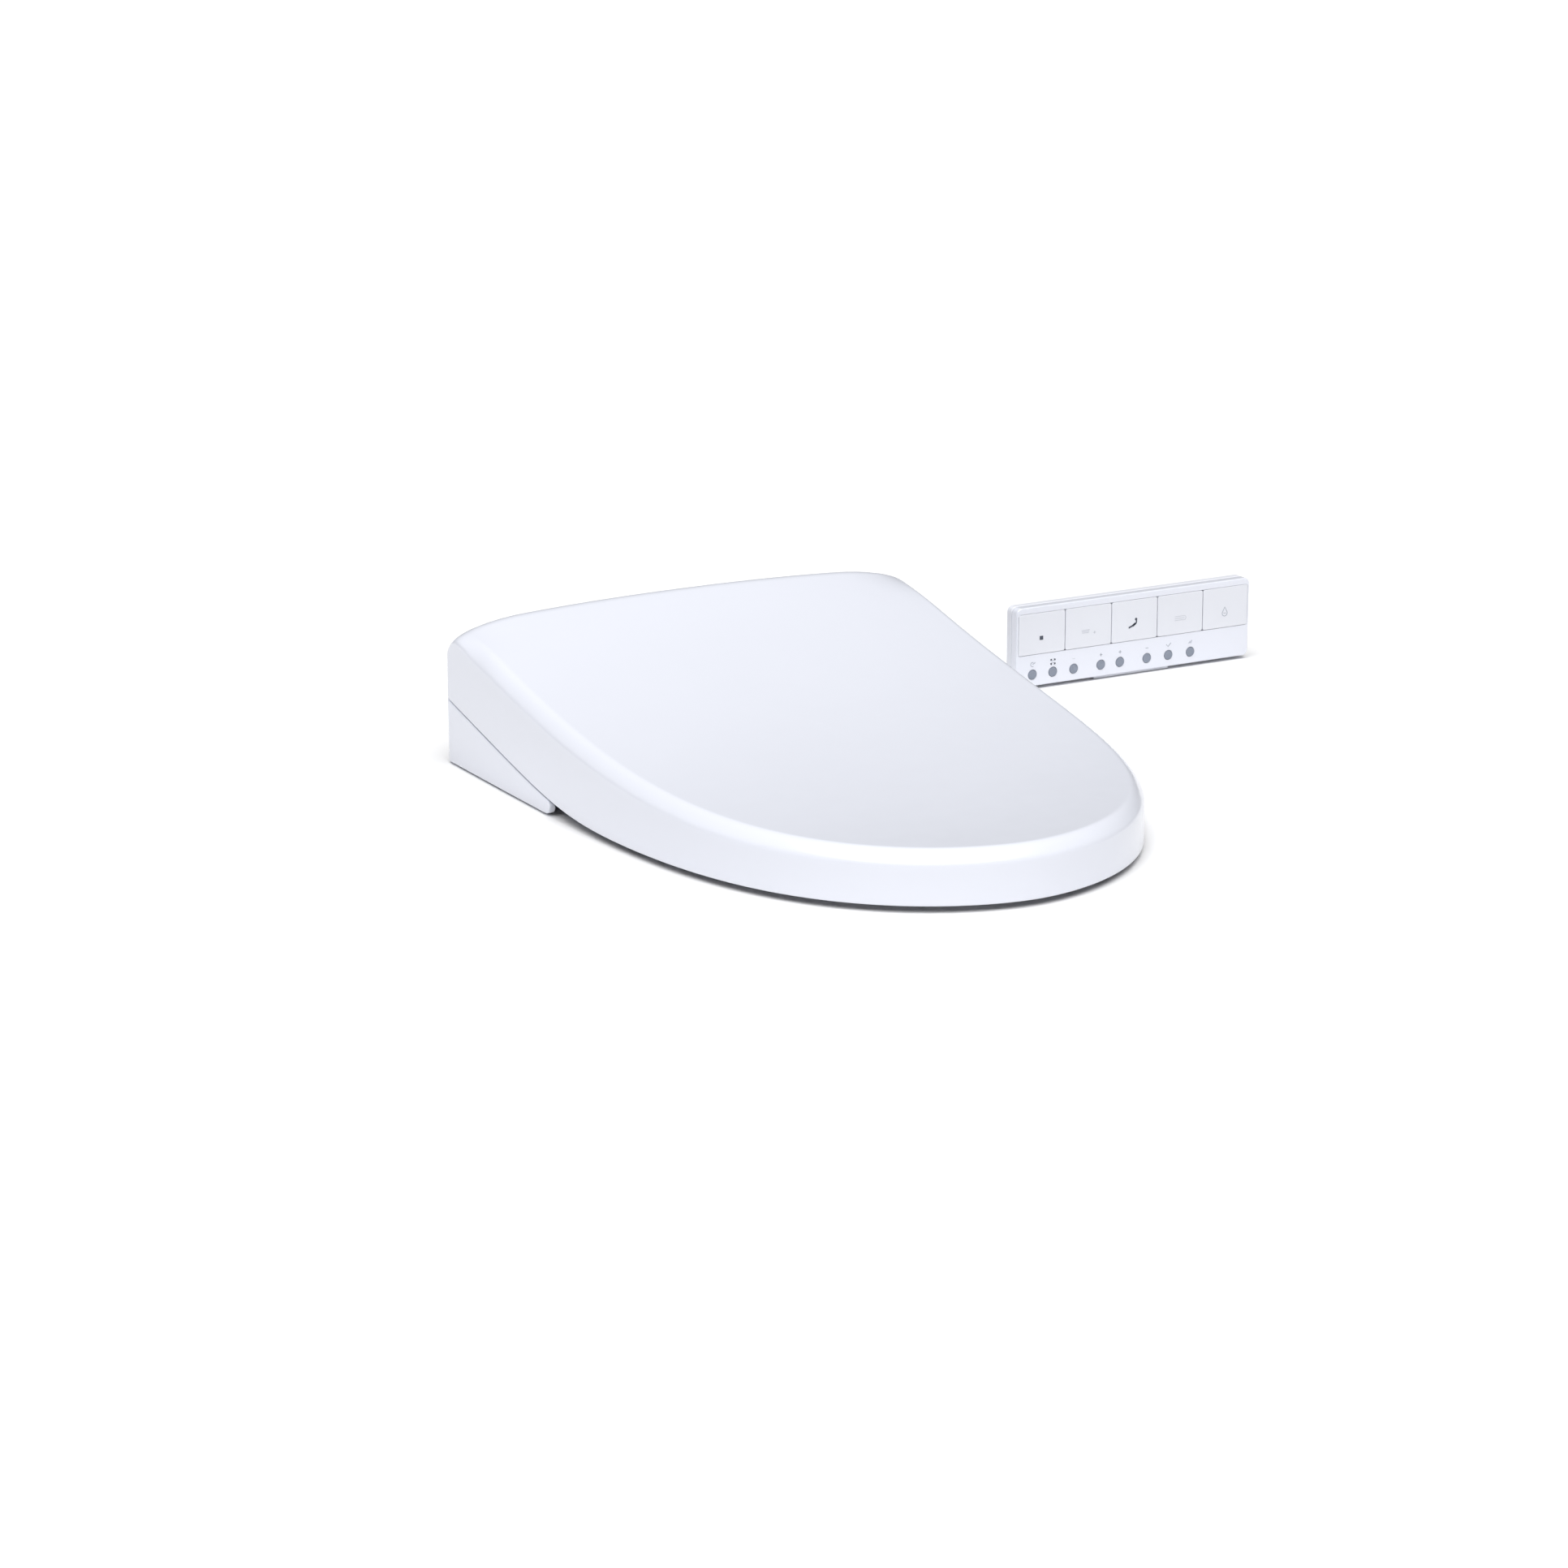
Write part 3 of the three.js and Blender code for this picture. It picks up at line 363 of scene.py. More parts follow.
def rounded_slab(width, depth, corner, bottom, top, edge, to_frame):
    """A slab with rounded corners in plan and rounded edges above and below; to_frame places a point."""
    levels = []
    for turn in quarter_turn(4):
        levels.append((edge * (1 - math.sin(turn)), bottom + edge * (1 - math.cos(turn))))
    for turn in quarter_turn(4):
        levels.append((edge * (1 - math.cos(turn)), top - edge * (1 - math.sin(turn))))
    rings = []
    for inset, height in levels:
        radius = max(corner - inset, 0.05)
        outline = rounded_rectangle(width - 2 * inset, depth - 2 * inset, radius)
        rings.append([to_frame(x, y, height) for x, y in outline])
    return mesh_object("slab", *skin(rings))


# ---- Lines of the lid and the base -----------------------


def clamp01(value):
    return min(max(value, 0.0), 1.0)


def half_width_at(q, half_width):
    return half_width * (1 + FLARE * q) * max(1 - q**ALONG_POWER, 0) ** (1 / ACROSS_POWER)


def half_outline(back, front, half_width, corner, outline_back):
    """From the middle of the back edge round to the front tip, as (x, s) points."""
    back_steps, corner_steps, side_steps, front_steps, side_share = 16, 8, 44, 40, 0.6
    points = [((half_width - corner) * i / back_steps, back) for i in range(back_steps)]
    for x, s in arc((half_width - corner, back + corner), corner, -90, 0, corner_steps):
        points.append((x, s))
    length = front - outline_back
    side_start = back + corner
    side_end = outline_back + side_share * length
    for i in range(1, side_steps + 1):
        s = side_start + (side_end - side_start) * (i / side_steps) ** 1.5
        points.append((half_width_at((s - outline_back) / length, half_width), s))
    first = math.asin(side_share ** (ALONG_POWER / 2))
    for i in range(1, front_steps + 1):
        q = math.sin(first + (math.pi / 2 - first) * i / front_steps) ** (2 / ALONG_POWER)
        x = 0 if i == front_steps else half_width_at(q, half_width)
        points.append((x, outline_back + q * length))
    return points


def mirrored(half):
    return half + [(-x, s) for x, s in reversed(half[1:-1])]


def lid_outline(inset):
    corner = max(CORNER_R - inset, 1)
    return mirrored(half_outline(inset, LENGTH - inset, HALF_WIDTH - inset, corner, inset))


def lid_top(x, s, wall):
    q = s / LENGTH
    line = BACK_HEIGHT + (FRONT_HEIGHT - BACK_HEIGHT) * q - TOP_SAG * 4 * q * (1 - q)
    crown = CROWN * (1 - abs(x / HALF_WIDTH) ** CROWN_POWER) * (1 - q)
    height = line + crown - wall - SHOULDER_FOOT
    rounding = 1 - clamp01((s - wall) / (SHOULDER_DEPTH - wall))
    share = (1 - rounding**SHOULDER_POWER) ** (1 / SHOULDER_POWER)
    return SHOULDER_FOOT + (height - corner_drop(x, s)) * share


def corner_drop(x, s):
    """How much lower the lid's top lies in its soft back corners."""
    near_side = clamp01(1 - (HALF_WIDTH - abs(x)) / CORNER_WIDTH)
    near_back = math.exp(-((s / CORNER_REACH) ** 2))
    return CORNER_DROP * near_back * (1 - math.sqrt(1 - near_side**2))


def bevel_drop(s, inset):
    fade = clamp01((s - BEVEL_FADE[0]) / (BEVEL_FADE[1] - BEVEL_FADE[0]))
    fade = fade * fade * (3 - 2 * fade)
    return BEVEL_DROP * fade * clamp01(1 - inset / BEVEL_WIDTH) ** BEVEL_POWER


def edge_drop(inset, radius):
    """How far a rounded edge of that radius falls below a sharp one."""
    reach = clamp01(1 - inset / radius)
    return radius * (1 - math.sqrt(1 - reach**2))


def split_height(s, gap):
    """The lid's lower edge for gap 0: an arc about the hinge, then a line that flattens to a lip."""
    radius = SWING_R + gap
    tilt = math.atan(SPLIT_SLOPE)
    if s < HINGE_S - radius * math.sin(tilt):
        return HINGE_Z - math.sqrt(radius**2 - (HINGE_S - s) ** 2)
    line = SPLIT_HEIGHT - SPLIT_SLOPE * s - SPLIT_LIP
    soft = SPLIT_SOFTNESS * math.log(1 + math.exp(line / SPLIT_SOFTNESS))
    return SPLIT_LIP + soft - gap / math.cos(tilt)


# ---- Lid -------------------------------------------------

def lid_ring(inset, wall, edge):
    ring = []
    for x, s in lid_outline(inset):
        drop = bevel_drop(s, inset - wall) + edge_drop(inset - wall, edge)
        ring.append(place(x, s, lid_top(x, s, wall) - drop))
    return ring


def shrunk_ring(inset, wall, scale):
    """A ring drawn in towards the middle of the lid."""
    ring = []
    for x, s in lid_outline(inset):
        near_s = LENGTH / 2 + (s - LENGTH / 2) * scale
        ring.append(place(x * scale, near_s, lid_top(x * scale, near_s, wall)))
    return ring


def top_rings(wall, edge):
    """Rings from the middle of the top out to its edge, closest together at the rounded back."""
    rings = [shrunk_ring(LID_FLAT_FROM + wall, wall, i / 12) for i in range(1, 12)]
    insets = [SHOULDER_DEPTH * (1 - math.cos(math.radians(3 * i))) for i in range(31)]
    insets += LID_EXTRA_INSETS
    return rings + [lid_ring(inset + wall, wall, edge) for inset in reversed(insets)]


def rim_ring(inset, lift):
    return [place(x, s, split_height(s, 0) + lift) for x, s in lid_outline(inset)]


def between(ring_a, ring_b, count):
    """Rings evenly between two others."""
    shares = [(i + 1) / (count + 1) for i in range(count)]
    return [[a.lerp(b, share) for a, b in zip(ring_a, ring_b)] for share in shares]


def rim_rings():
    """The rounded lower edge of the lid, from its outside to its inside."""
    rings = []
    for turn in quarter_turn(4):
        rings.append(rim_ring(LID_RIM_R * (1 - math.cos(turn)), LID_RIM_R * (1 - math.sin(turn))))
    for turn in quarter_turn(4):
        inset = WALL - LID_RIM_R * (1 - math.sin(turn))
        rings.append(rim_ring(inset, LID_RIM_R * (1 - math.cos(turn))))
    return rings


def lid_shell():
    outside = top_rings(0, LID_EDGE_R)
    inside = top_rings(WALL, 1)
    rim = rim_rings()
    outer_wall = between(outside[-1], rim[0], 6)
    inner_wall = between(rim[-1], inside[-1], 6)
    rings = outside + outer_wall + rim + inner_wall + inside[::-1]
    shell = mesh_object("lid_shell", *skin(rings))
    dress(shell, "lid", "gloss_white", ["lid"])


def on_side(side, span):
    return (span[0], span[1]) if side > 0 else (-span[1], -span[0])


def lid_lug(name, side):
    """A lug that hangs from the lid's back and turns on the hinge pin."""
    outline = [(HINGE_S - EYE_R, HINGE_Z)]
    outline += [(s, lid_top(LID_LUG_X[1], s, 0) - WALL / 2) for s in range(9, 55, 3)]
    outline += [(HINGE_S + 2 * EYE_R, HINGE_Z + EYE_R)]
    outline += arc((HINGE_S, HINGE_Z), EYE_R, 0, -176)
    span = on_side(side, LID_LUG_X)
    lug = round_edges(prism(outline, span), 0.8)
    carve(lug, bore(BORE_R, (span[0] - 1, span[1] + 1)))
    lug.name = f"lid_lug_{name}"
    flat_normals(dress(lug, "lid", "gloss_white"))


# ---- Seat ring -------------------------------------------


def seat_rise(s):
    return SEAT_RISE * (1 - (s - SEAT_BACK) / (LENGTH - SEAT_INSET - SEAT_BACK))


def seat_edges():
    """Pairs of matching points on the hole and on the outer edge."""
    front, half_width = LENGTH - SEAT_INSET, HALF_WIDTH - SEAT_INSET
    pairs = []
    for x, s in mirrored(half_outline(SEAT_BACK, front, half_width, SEAT_CORNER_R, SEAT_INSET)):
        angle = math.atan2((s - HOLE_S) / HOLE_HALF_LENGTH, x / HOLE_HALF_WIDTH)
        hole = (HOLE_HALF_WIDTH * math.cos(angle), HOLE_S + HOLE_HALF_LENGTH * math.sin(angle))
        pairs.append((Vector(hole), Vector((x, s))))
    return pairs


def curve_through(points, steps):
    """A smooth line through the points, passing each of them."""
    ends = [2 * points[0] - points[1], *points, 2 * points[-1] - points[-2]]
    line = []
    for p0, p1, p2, p3 in zip(ends, ends[1:], ends[2:], ends[3:]):
        for i in range(steps):
            t = i / steps
            line.append(
                0.5 * (2 * p1 + (p2 - p0) * t + (2 * p0 - 5 * p1 + 4 * p2 - p3) * t**2
                       + (3 * p1 - p0 - 3 * p2 + p3) * t**3)
            )
    return line + [points[-1]]


def ring_piece(name, lines):
    """A ring whose section is a few smooth lines of [share of the width, step in mm, height, steps]."""
    columns = []
    for hole, outer in seat_edges():
        across = outer - hole
        width = across.length
        column = []
        for line, steps in lines:
            flat = [Vector((share * width + step, z)) for share, step, z in line]
            column += curve_through(flat, steps)
        centre = [hole + across / width * p.x for p in column]
        rises = [seat_rise(c.y) if p.y > SEAT_WALL_BOTTOM else 0 for c, p in zip(centre, column)]
        columns.append([place(c.x, c.y, p.y + rise) for c, p, rise in zip(centre, column, rises)])
    return mesh_object(name, *skin(columns, loop=True))


def seat_upper():
    """The top shell: its outer side, crowned top and hole side, then its underside back again."""
    low = SEAT_WALL_BOTTOM
    outside = [(1, -0.5, low), (1, 0, low + 0.6), (1, 0, 20), (1, -5, 29), (1, -16, 34)]
    outside += [(0.5, 0, SEAT_CROWN), (0, 14, 33.5), (0, 4, 28), (0, 0, 20)]
    outside += [(0, 0, low + 0.6), (0, 0.5, low)]
    under = [(0, WALL, low), (0, WALL, 20), (0, 6.5, 26.5), (0, 15, 30.4)]
    under += [(0.5, 0, SEAT_CROWN - WALL), (1, -17, 30.8), (1, -8, 26.3), (1, -WALL, 20)]
    under += [(1, -WALL, low)]
    ring = ring_piece("seat_ring_upper", [(outside, 5), (under, 3)])
    carve(ring, block(*NOTCH))
    dress(ring, "seat", "gloss_white", ["seat_upper_shell"])


def seat_lower():
    low, high = SEAT_LOWER
    edge = SEAT_LOWER_EDGE
    section = [(1, -edge, low), (1, 0, low + edge), (1, 0, high), (0, 0, high)]
    section += [(0, 0, low + edge), (0, edge, low)]
    ring = ring_piece("seat_ring_lower", [(section[i : i + 2], 2) for i in range(0, 6, 2)])
    carve(ring, block(*NOTCH))
    dress(ring, "seat", "satin_white", ["seat_lower_shell"])


def seat_arm(name, side):
    eye = arc((HINGE_S, HINGE_Z), EYE_R, *ARM_EYE_TURN)
    outline = [ARM_UNDER[1], *ARM_TOP, *eye, ARM_UNDER[0]]
    span = on_side(side, SEAT_ARM_X)
    arm = round_edges(prism(outline, span), 1.2)
    carve(arm, bore(BORE_R, (span[0] - 1, span[1] + 1)))
    arm.name = f"seat_arm_{name}"
    flat_normals(dress(arm, "seat", "gloss_white"))


# ---- Base tray -------------------------------------------

def tray_path(inset):
    """The tray's wall in plan, from the right nose round the back to the left nose."""
    length = LENGTH - 2 * inset
    corner = max(CORNER_R - inset, 1)
    half = HALF_WIDTH - inset
    nose = [TRAY_NOSE - NOSE_LENGTH * (1 - math.cos(math.radians(6 * i + 4))) for i in range(15)]
    side_start = inset + corner
    side = [nose[-1] + (side_start - nose[-1]) * (i / 30) for i in range(1, 30)]
    right = [(half_width_at((s - inset) / length, half), s) for s in nose + side]
    right += arc((half - corner, side_start), corner, 0, -90, 10)
    start = half - corner
    right += [(start + (PLATE_WAY + 1 - start) * i / 8, inset) for i in range(1, 9)]
    right += [(PLATE_WAY - 1 - (PLATE_WAY - 1) * i / 10, inset) for i in range(10)]
    return right + [(-x, s) for x, s in reversed(right)]


def tray_levels(x, s):
    """The wall's bottom and top at a place; they meet in a round nose at the front."""
    bottom = TRAY_FLOOR[0] if abs(x) < PLATE_WAY and s < CORNER_R else TRAY_UNDERSIDE
    round_from = TRAY_NOSE - NOSE_LENGTH
    if s <= round_from:
        return bottom, split_height(s, SPLIT_GAP)
    top = split_height(round_from, SPLIT_GAP)
    share = math.sqrt(max(1 - ((s - round_from) / NOSE_LENGTH) ** 2, 0.001))
    middle = (top + bottom) / 2
    return middle - (top - bottom) / 2 * share, middle + (top - bottom) / 2 * share


def tray_section(wall):
    """The wall's section, up its outside and down its inside.

    A row is (lean inwards, share of the height, lift, wall), with lean and lift in edge radii.
    """
    turns = quarter_turn(3)
    rows = [(1 - math.sin(turn), 0, 1 - math.cos(turn), 0) for turn in turns]
    rows += [(1 - math.cos(turn), 1, math.sin(turn) - 1, 0) for turn in turns]
    rows += [(math.sin(turn) - 1, 1, math.cos(turn) - 1, wall) for turn in turns]
    return rows + [(0, 0, 0, wall)]


def tray_wall():
    rows = tray_section(TRAY_WALL)
    reference = tray_path(0)
    lines = []
    for lean, share, lift, wall in rows:
        path = tray_path(wall + lean * TRAY_EDGE_R)
        line = []
        for (x, s), (ref_x, ref_s) in zip(path, reference):
            bottom, top = tray_levels(ref_x, ref_s)
            edge = min(TRAY_EDGE_R, (top - bottom) / 3)
            line.append(place(x, s, bottom + (top - bottom) * share + lift * edge))
        lines.append(line)
    columns = [list(column) for column in zip(*lines)]
    return mesh_object("base_shell", *skin(columns))


def base_tray():
    shell = tray_wall()
    inner = HALF_WIDTH - TRAY_WALL + 0.6
    floor = block((-inner, inner), (TRAY_BACK_WALL - 0.6, TRAY_FLOOR_FRONT), TRAY_FLOOR)
    rib_s = (TRAY_BACK_WALL - 1, RIB_FRONT)
    rib_z = (RIB_BOTTOM, TRAY_FLOOR[0] + 1)
    ribs = [block((x - 1, x + 1), rib_s, rib_z) for x in RIB_PLACES]
    weld(shell, floor, *ribs)
    low, high = (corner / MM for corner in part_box("release_button"))
    slack = RELEASE_SLACK
    slot_s = (BOLTS_TO_BACK - high.y - slack, BOLTS_TO_BACK - low.y + slack)
    carve(shell, block((HALF_WIDTH - 6, HALF_WIDTH + 2), slot_s, (low.z - slack, high.z + slack)))
    vents = [block((x, x + VENT_WIDTH), (-1, TRAY_BACK_WALL + 2), VENT_HEIGHTS) for x in VENT_PLACES]
    carve(shell, *vents)
    dress(shell, "base", "gloss_white", ["base_tray"])


# ---- Main casing -----------------------------------------


def hump_outline():
    hinge = (HINGE_S, HINGE_Z)
    cove_start = 180 + math.degrees(math.acos((HINGE_S - CASING_BACK) / COVE_R))
    outline = [(HUMP_FACE, CASING_BOTTOM), (CASING_BACK, CASING_BOTTOM)]
    outline += arc(hinge, COVE_R, cove_start, 345, 20)
    outline += arc(hinge, EYE_R, -15, -310, 48)
    outline += [HUMP_BACK, HUMP_FRONT]
    control = (HUMP_FACE, HUMP_FRONT[1] - 2)
    end = (HUMP_FACE, HUMP_CORNER_Z)
    for i in range(1, 9):
        t = i / 8
        s = (1 - t) ** 2 * HUMP_FRONT[0] + 2 * t * (1 - t) * control[0] + t**2 * end[0]
        z = (1 - t) ** 2 * HUMP_FRONT[1] + 2 * t * (1 - t) * control[1] + t**2 * end[1]
        outline.append((s, z))
    return outline


def hump_hollow():
    under = HINGE_Z - COVE_R - WALL
    low = CASING_BOTTOM - 1
    slope_top = (HUMP_FRONT[0] - WALL, HUMP_FRONT[1] - WALL)
    front = HUMP_FACE - WALL
    crest = (HUMP_ROOM_CREST, HUMP_BACK[1] - 1.4 * WALL)
    behind = [(HUMP_ROOM_BACK, low), (HUMP_ROOM_BACK, under), (HUMP_ROOM_COVE, under)]
    return behind + [crest, slope_top, (front, HUMP_CORNER_Z), (front, low)]


def shoulder_outline(gap, start, end, bottom):
    steps = 40
    outline = [(start, bottom)]
    for i in range(steps + 1):
        s = start + (end - start) * (i / steps) ** 1.5
        outline.append((s, split_height(s, gap)))
    return outline + [(end, bottom)]


def nozzle_matrix(along):
    """The nozzle's axis, with its heights measured forwards from the port; both in mm."""
    port = place(0, PORT_S, PORT_Z) / MM
    direction = Vector((0, -math.cos(NOZZLE_TILT), -math.sin(NOZZLE_TILT)))
    turn = direction.to_track_quat("Z", "Y").to_matrix().to_4x4()
    return Matrix.Translation(port + direction * along) @ turn


def main_casing():
    casing = round_edges(prism(hump_outline(), (-HUMP_HALF_WIDTH, HUMP_HALF_WIDTH)), 1.6, 3, 60)
    shoulder = shoulder_outline(SHOULDER_GAP, CASING_BACK, SHOULDER_FRONT, CASING_BOTTOM)
    shoulders = round_edges(prism(shoulder, (-CASING_SIDE, CASING_SIDE)), 1, 2, 60)
    weld(casing, shoulders)
    inside = HUMP_HALF_WIDTH - WALL
    beside = CASING_SIDE - WALL
    shoulder_room = shoulder_outline(
        SHOULDER_GAP + WALL, CASING_BACK + WALL, SHOULDER_ROOM_FRONT, CASING_BOTTOM - 1
    )
    carve(casing, prism(hump_hollow(), (-inside, inside)), prism(shoulder_room, (-beside, beside)))
    for side in (1, -1):
        carve(casing, bore(DAMPER_BORE_R, on_side(side, (DAMPER_START, HUMP_HALF_WIDTH + 1))))
    carve(casing, turned([(NOZZLE_R + 4, -20), (NOZZLE_R + 4, 20)], nozzle_matrix(0)))
    carve(casing, block(*DRYER_PORT))
    casing.name = "casing_shell"
    flat_normals(dress(casing, "base", "gloss_white", ["main_casing"]))


# ---- Small round and flat pieces -------------------------


def node_size(node):
    """A frame node's middle and size, in mm."""
    low, high = (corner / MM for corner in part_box(node))
    return (low + high) / 2, high - low


def rubber_pad(node, body):
    """A moulded pad with a rounded edge and a shallow dished face with a ring on it."""
    centre, size = node_size(node)
    r, low, high = size.x / 2, -size.z / 2, size.z / 2
    profile = [(r * 0.35, low + 0.5), (r * 0.5, low + 0.4), (r * 0.62, low), (r - 0.8, low)]
    profile += [(r - 0.25, low + 0.25), (r, low + 0.8), (r, high - 0.8), (r - 0.25, high - 0.25)]
    profile += [(r - 0.8, high)]
    pad = turned(profile, axis_matrix("z", centre), 40)
    pad.name = f"{node}_pad"
    dress(pad, body, "rubber", [node])


def hinge_pin(node):
    centre, size = node_size(node)
    half, r, chamfer = size.x / 2, size.z / 2, 0.6
    profile = [(r - chamfer, -half), (r, chamfer - half), (r, half - chamfer), (r - chamfer, half)]
    pin = turned(profile, axis_matrix("x", centre), 40)
    pin.name = f"{node}_turned"
    dress(pin, "base", "steel", [node])


def hinge_damper(node):
    """A soft-close damper: a round body with two grooves."""
    centre, size = node_size(node)
    half, r = size.x / 2, size.z / 2
    profile = [(r - 0.8, -half), (r, 0.8 - half)]
    for groove in (-half + 4, half - 6):
        profile += [(r, groove), (r - 0.6, groove + 0.4), (r - 0.6, groove + 1.6), (r, groove + 2)]
    profile += [(r, half - 0.8), (r - 0.8, half)]
    damper = turned(profile, axis_matrix("x", centre), 40)
    damper.name = f"{node}_body"
    dress(damper, "base", "dark_plastic", [node])


def threaded_inlet(node, slot, crests):
    """An inlet on the back wall: a plain end inside, a collar, then a thread with a bored mouth."""
    centre, size = node_size(node)
    collar_r = size.x / 2
    stub_r = collar_r - 2.5
    inside, mouth = -size.y / 2, size.y / 2
    wall = centre.y - BOLTS_TO_BACK
    collar = (-wall + 0.3, -wall + 3.3)
    profile = [(stub_r, inside), (stub_r, collar[0])]
    profile += [(collar_r - 0.4, collar[0]), (collar_r, collar[0] + 0.4)]
    profile += [(collar_r, collar[1] - 0.5), (collar_r - 0.5, collar[1]), (stub_r - 0.5, collar[1])]
    pitch = (mouth - 0.6 - collar[1]) / crests
    for i in range(crests):
        start = collar[1] + pitch * i
        profile += [(stub_r, start + 0.3 * pitch), (stub_r, start + 0.55 * pitch)]
        profile += [(stub_r - 0.5, start + 0.85 * pitch)]
    profile += [(stub_r - 0.5, mouth - 0.3), (stub_r - 0.8, mouth), (stub_r - 2.4, mouth)]
    profile += [(stub_r - 2.8, mouth - 0.4), (stub_r - 2.8, inside + 3)]
    made = turned(profile, axis_matrix("y", centre), 56)
    made.name = f"{node}_turned"
    dress(made, "base", slot, [node])


def small_slab(node, body, slot, up, corner, edge):
    """A rounded slab in a frame node's box, its face looking along x or -y."""
    centre, size = node_size(node)
    if up == "x":
        made = rounded_slab(
            size.y, size.z, corner, -size.x / 2, size.x / 2, edge,
            lambda u, v, w: (centre + Vector((w, u, v))) * MM,
        )
    else:
        made = rounded_slab(
            size.x, size.z, corner, -size.y / 2, size.y / 2, edge,
            lambda u, v, w: (centre + Vector((u, -w, v))) * MM,
        )
    made.name = f"{node}_moulding"
    return dress(made, body, slot, [node])


# ---- Materials -------------------------------------------


def material_nodes(name):
    made = bpy.data.materials.new(name)
    made.use_nodes = True
    nodes, links = made.node_tree.nodes, made.node_tree.links
    return made, nodes, links, nodes["Principled BSDF"]


def texture_node(nodes, links, kind, scale):
    """A texture in the piece's own space."""
    where = nodes.new("ShaderNodeTexCoord")
    texture = nodes.new(kind)
    texture.inputs["Scale"].default_value = scale
    links.new(where.outputs["Object"], texture.inputs["Vector"])
    return texture


def noise(nodes, links, scale, detail=3.0):
    texture = texture_node(nodes, links, "ShaderNodeTexNoise", scale)
    texture.inputs["Detail"].default_value = detail
    return texture.outputs["Fac"]


def spread(nodes, links, source, low, high):
    """Turns a 0 to 1 pattern into a range of numbers."""
    node = nodes.new("ShaderNodeMapRange")
    node.inputs["From Min"].default_value = 0.3
    node.inputs["From Max"].default_value = 0.7
    node.inputs["To Min"].default_value = low
    node.inputs["To Max"].default_value = high
    links.new(source, node.inputs["Value"])
    return node.outputs["Result"]


def tint(nodes, links, source, dark, light):
    """A colour between two others, by a 0 to 1 pattern."""
    ramp = nodes.new("ShaderNodeValToRGB")
    ramp.color_ramp.elements[0].position = 0.3
    ramp.color_ramp.elements[1].position = 0.7
    ramp.color_ramp.elements[0].color = (*dark, 1)
    ramp.color_ramp.elements[1].color = (*light, 1)
    links.new(source, ramp.inputs["Fac"])
    return ramp.outputs["Color"]


def bump(nodes, links, shader, source, depth, strength=1.0):
    node = nodes.new("ShaderNodeBump")
    node.inputs["Strength"].default_value = strength
    node.inputs["Distance"].default_value = depth * MM
    links.new(source, node.inputs["Height"])
    links.new(node.outputs["Normal"], shader.inputs["Normal"])


def scaled(colour, share):
    return tuple(channel * share for channel in colour)


def moulded(name, colour, roughness, variation=0.015, grain=900, depth=0.004):
    """Moulded plastic: slight unevenness of colour and gloss, and a fine grain."""
    made, nodes, links, shader = material_nodes(name)
    broad = noise(nodes, links, 9, 2)
    shades = tint(nodes, links, broad, scaled(colour, 1 - variation), colour)
    links.new(shades, shader.inputs["Base Color"])
    patches = noise(nodes, links, 60, 4)
    links.new(spread(nodes, links, patches, *roughness), shader.inputs["Roughness"])
    bump(nodes, links, shader, noise(nodes, links, grain, 2), depth)
    return made, shader


def gloss_white():
    made, shader = moulded("gloss_white", WHITE, (0.2, 0.26), 0.01, 420, 0.002)
    shader.inputs["Coat Weight"].default_value = 0.35
    shader.inputs["Coat Roughness"].default_value = 0.07
    return made


def satin_white():
    return moulded("satin_white", (0.78, 0.795, 0.85), (0.36, 0.46), 0.02, 1400, 0.008)[0]


def grey_plastic():
    return moulded("grey_plastic", (0.45, 0.47, 0.51), (0.38, 0.5), 0.05, 1200, 0.01)[0]


def dark_plastic():
    made, shader = moulded("dark_plastic", (0.03, 0.03, 0.034), (0.16, 0.26), 0.1, 900, 0.003)
    shader.inputs["Coat Weight"].default_value = 0.4
    return made


def rubber():
    made, shader = moulded("rubber", (0.56, 0.57, 0.59), (0.7, 0.85), 0.06, 1800, 0.02)
    shader.inputs["Specular IOR Level"].default_value = 0.3
    return made


def button_blue():
    made, shader = moulded("button_blue", (0.235, 0.265, 0.33), (0.22, 0.32), 0.04, 900, 0.004)
    shader.inputs["Coat Weight"].default_value = 0.2
    return made


def brushed(name, colour, roughness, stretch):
    """Metal with a grain drawn along one axis."""
    made, nodes, links, shader = material_nodes(name)
    where = nodes.new("ShaderNodeTexCoord")
    mapping = nodes.new("ShaderNodeMapping")
    mapping.inputs["Scale"].default_value = stretch
    texture = nodes.new("ShaderNodeTexNoise")
    texture.inputs["Scale"].default_value = 700
    links.new(where.outputs["Object"], mapping.inputs["Vector"])
    links.new(mapping.outputs["Vector"], texture.inputs["Vector"])
    pattern = texture.outputs["Fac"]
    links.new(tint(nodes, links, pattern, scaled(colour, 0.85), colour), shader.inputs["Base Color"])
    links.new(spread(nodes, links, pattern, *roughness), shader.inputs["Roughness"])
    shader.inputs["Metallic"].default_value = 1.0
    bump(nodes, links, shader, pattern, 0.01, 0.6)
    return made


def steel():
    return brushed("steel", (0.6, 0.61, 0.63), (0.22, 0.38), (0.06, 1, 1))


def brass():
    return brushed("brass", (0.62, 0.46, 0.2), (0.2, 0.36), (1, 0.15, 1))


def board_green():
    made, nodes, links, shader = material_nodes("board_green")
    tracks = texture_node(nodes, links, "ShaderNodeTexBrick", 160)
    tracks.inputs["Mortar Size"].default_value = 0.06
    tracks.inputs["Color1"].default_value = (0.03, 0.14, 0.06, 1)
    tracks.inputs["Color2"].default_value = (0.035, 0.17, 0.075, 1)
    tracks.inputs["Mortar"].default_value = (0.09, 0.27, 0.12, 1)
    links.new(tracks.outputs["Color"], shader.inputs["Base Color"])
    links.new(spread(nodes, links, noise(nodes, links, 300), 0.3, 0.45), shader.inputs["Roughness"])
    return made


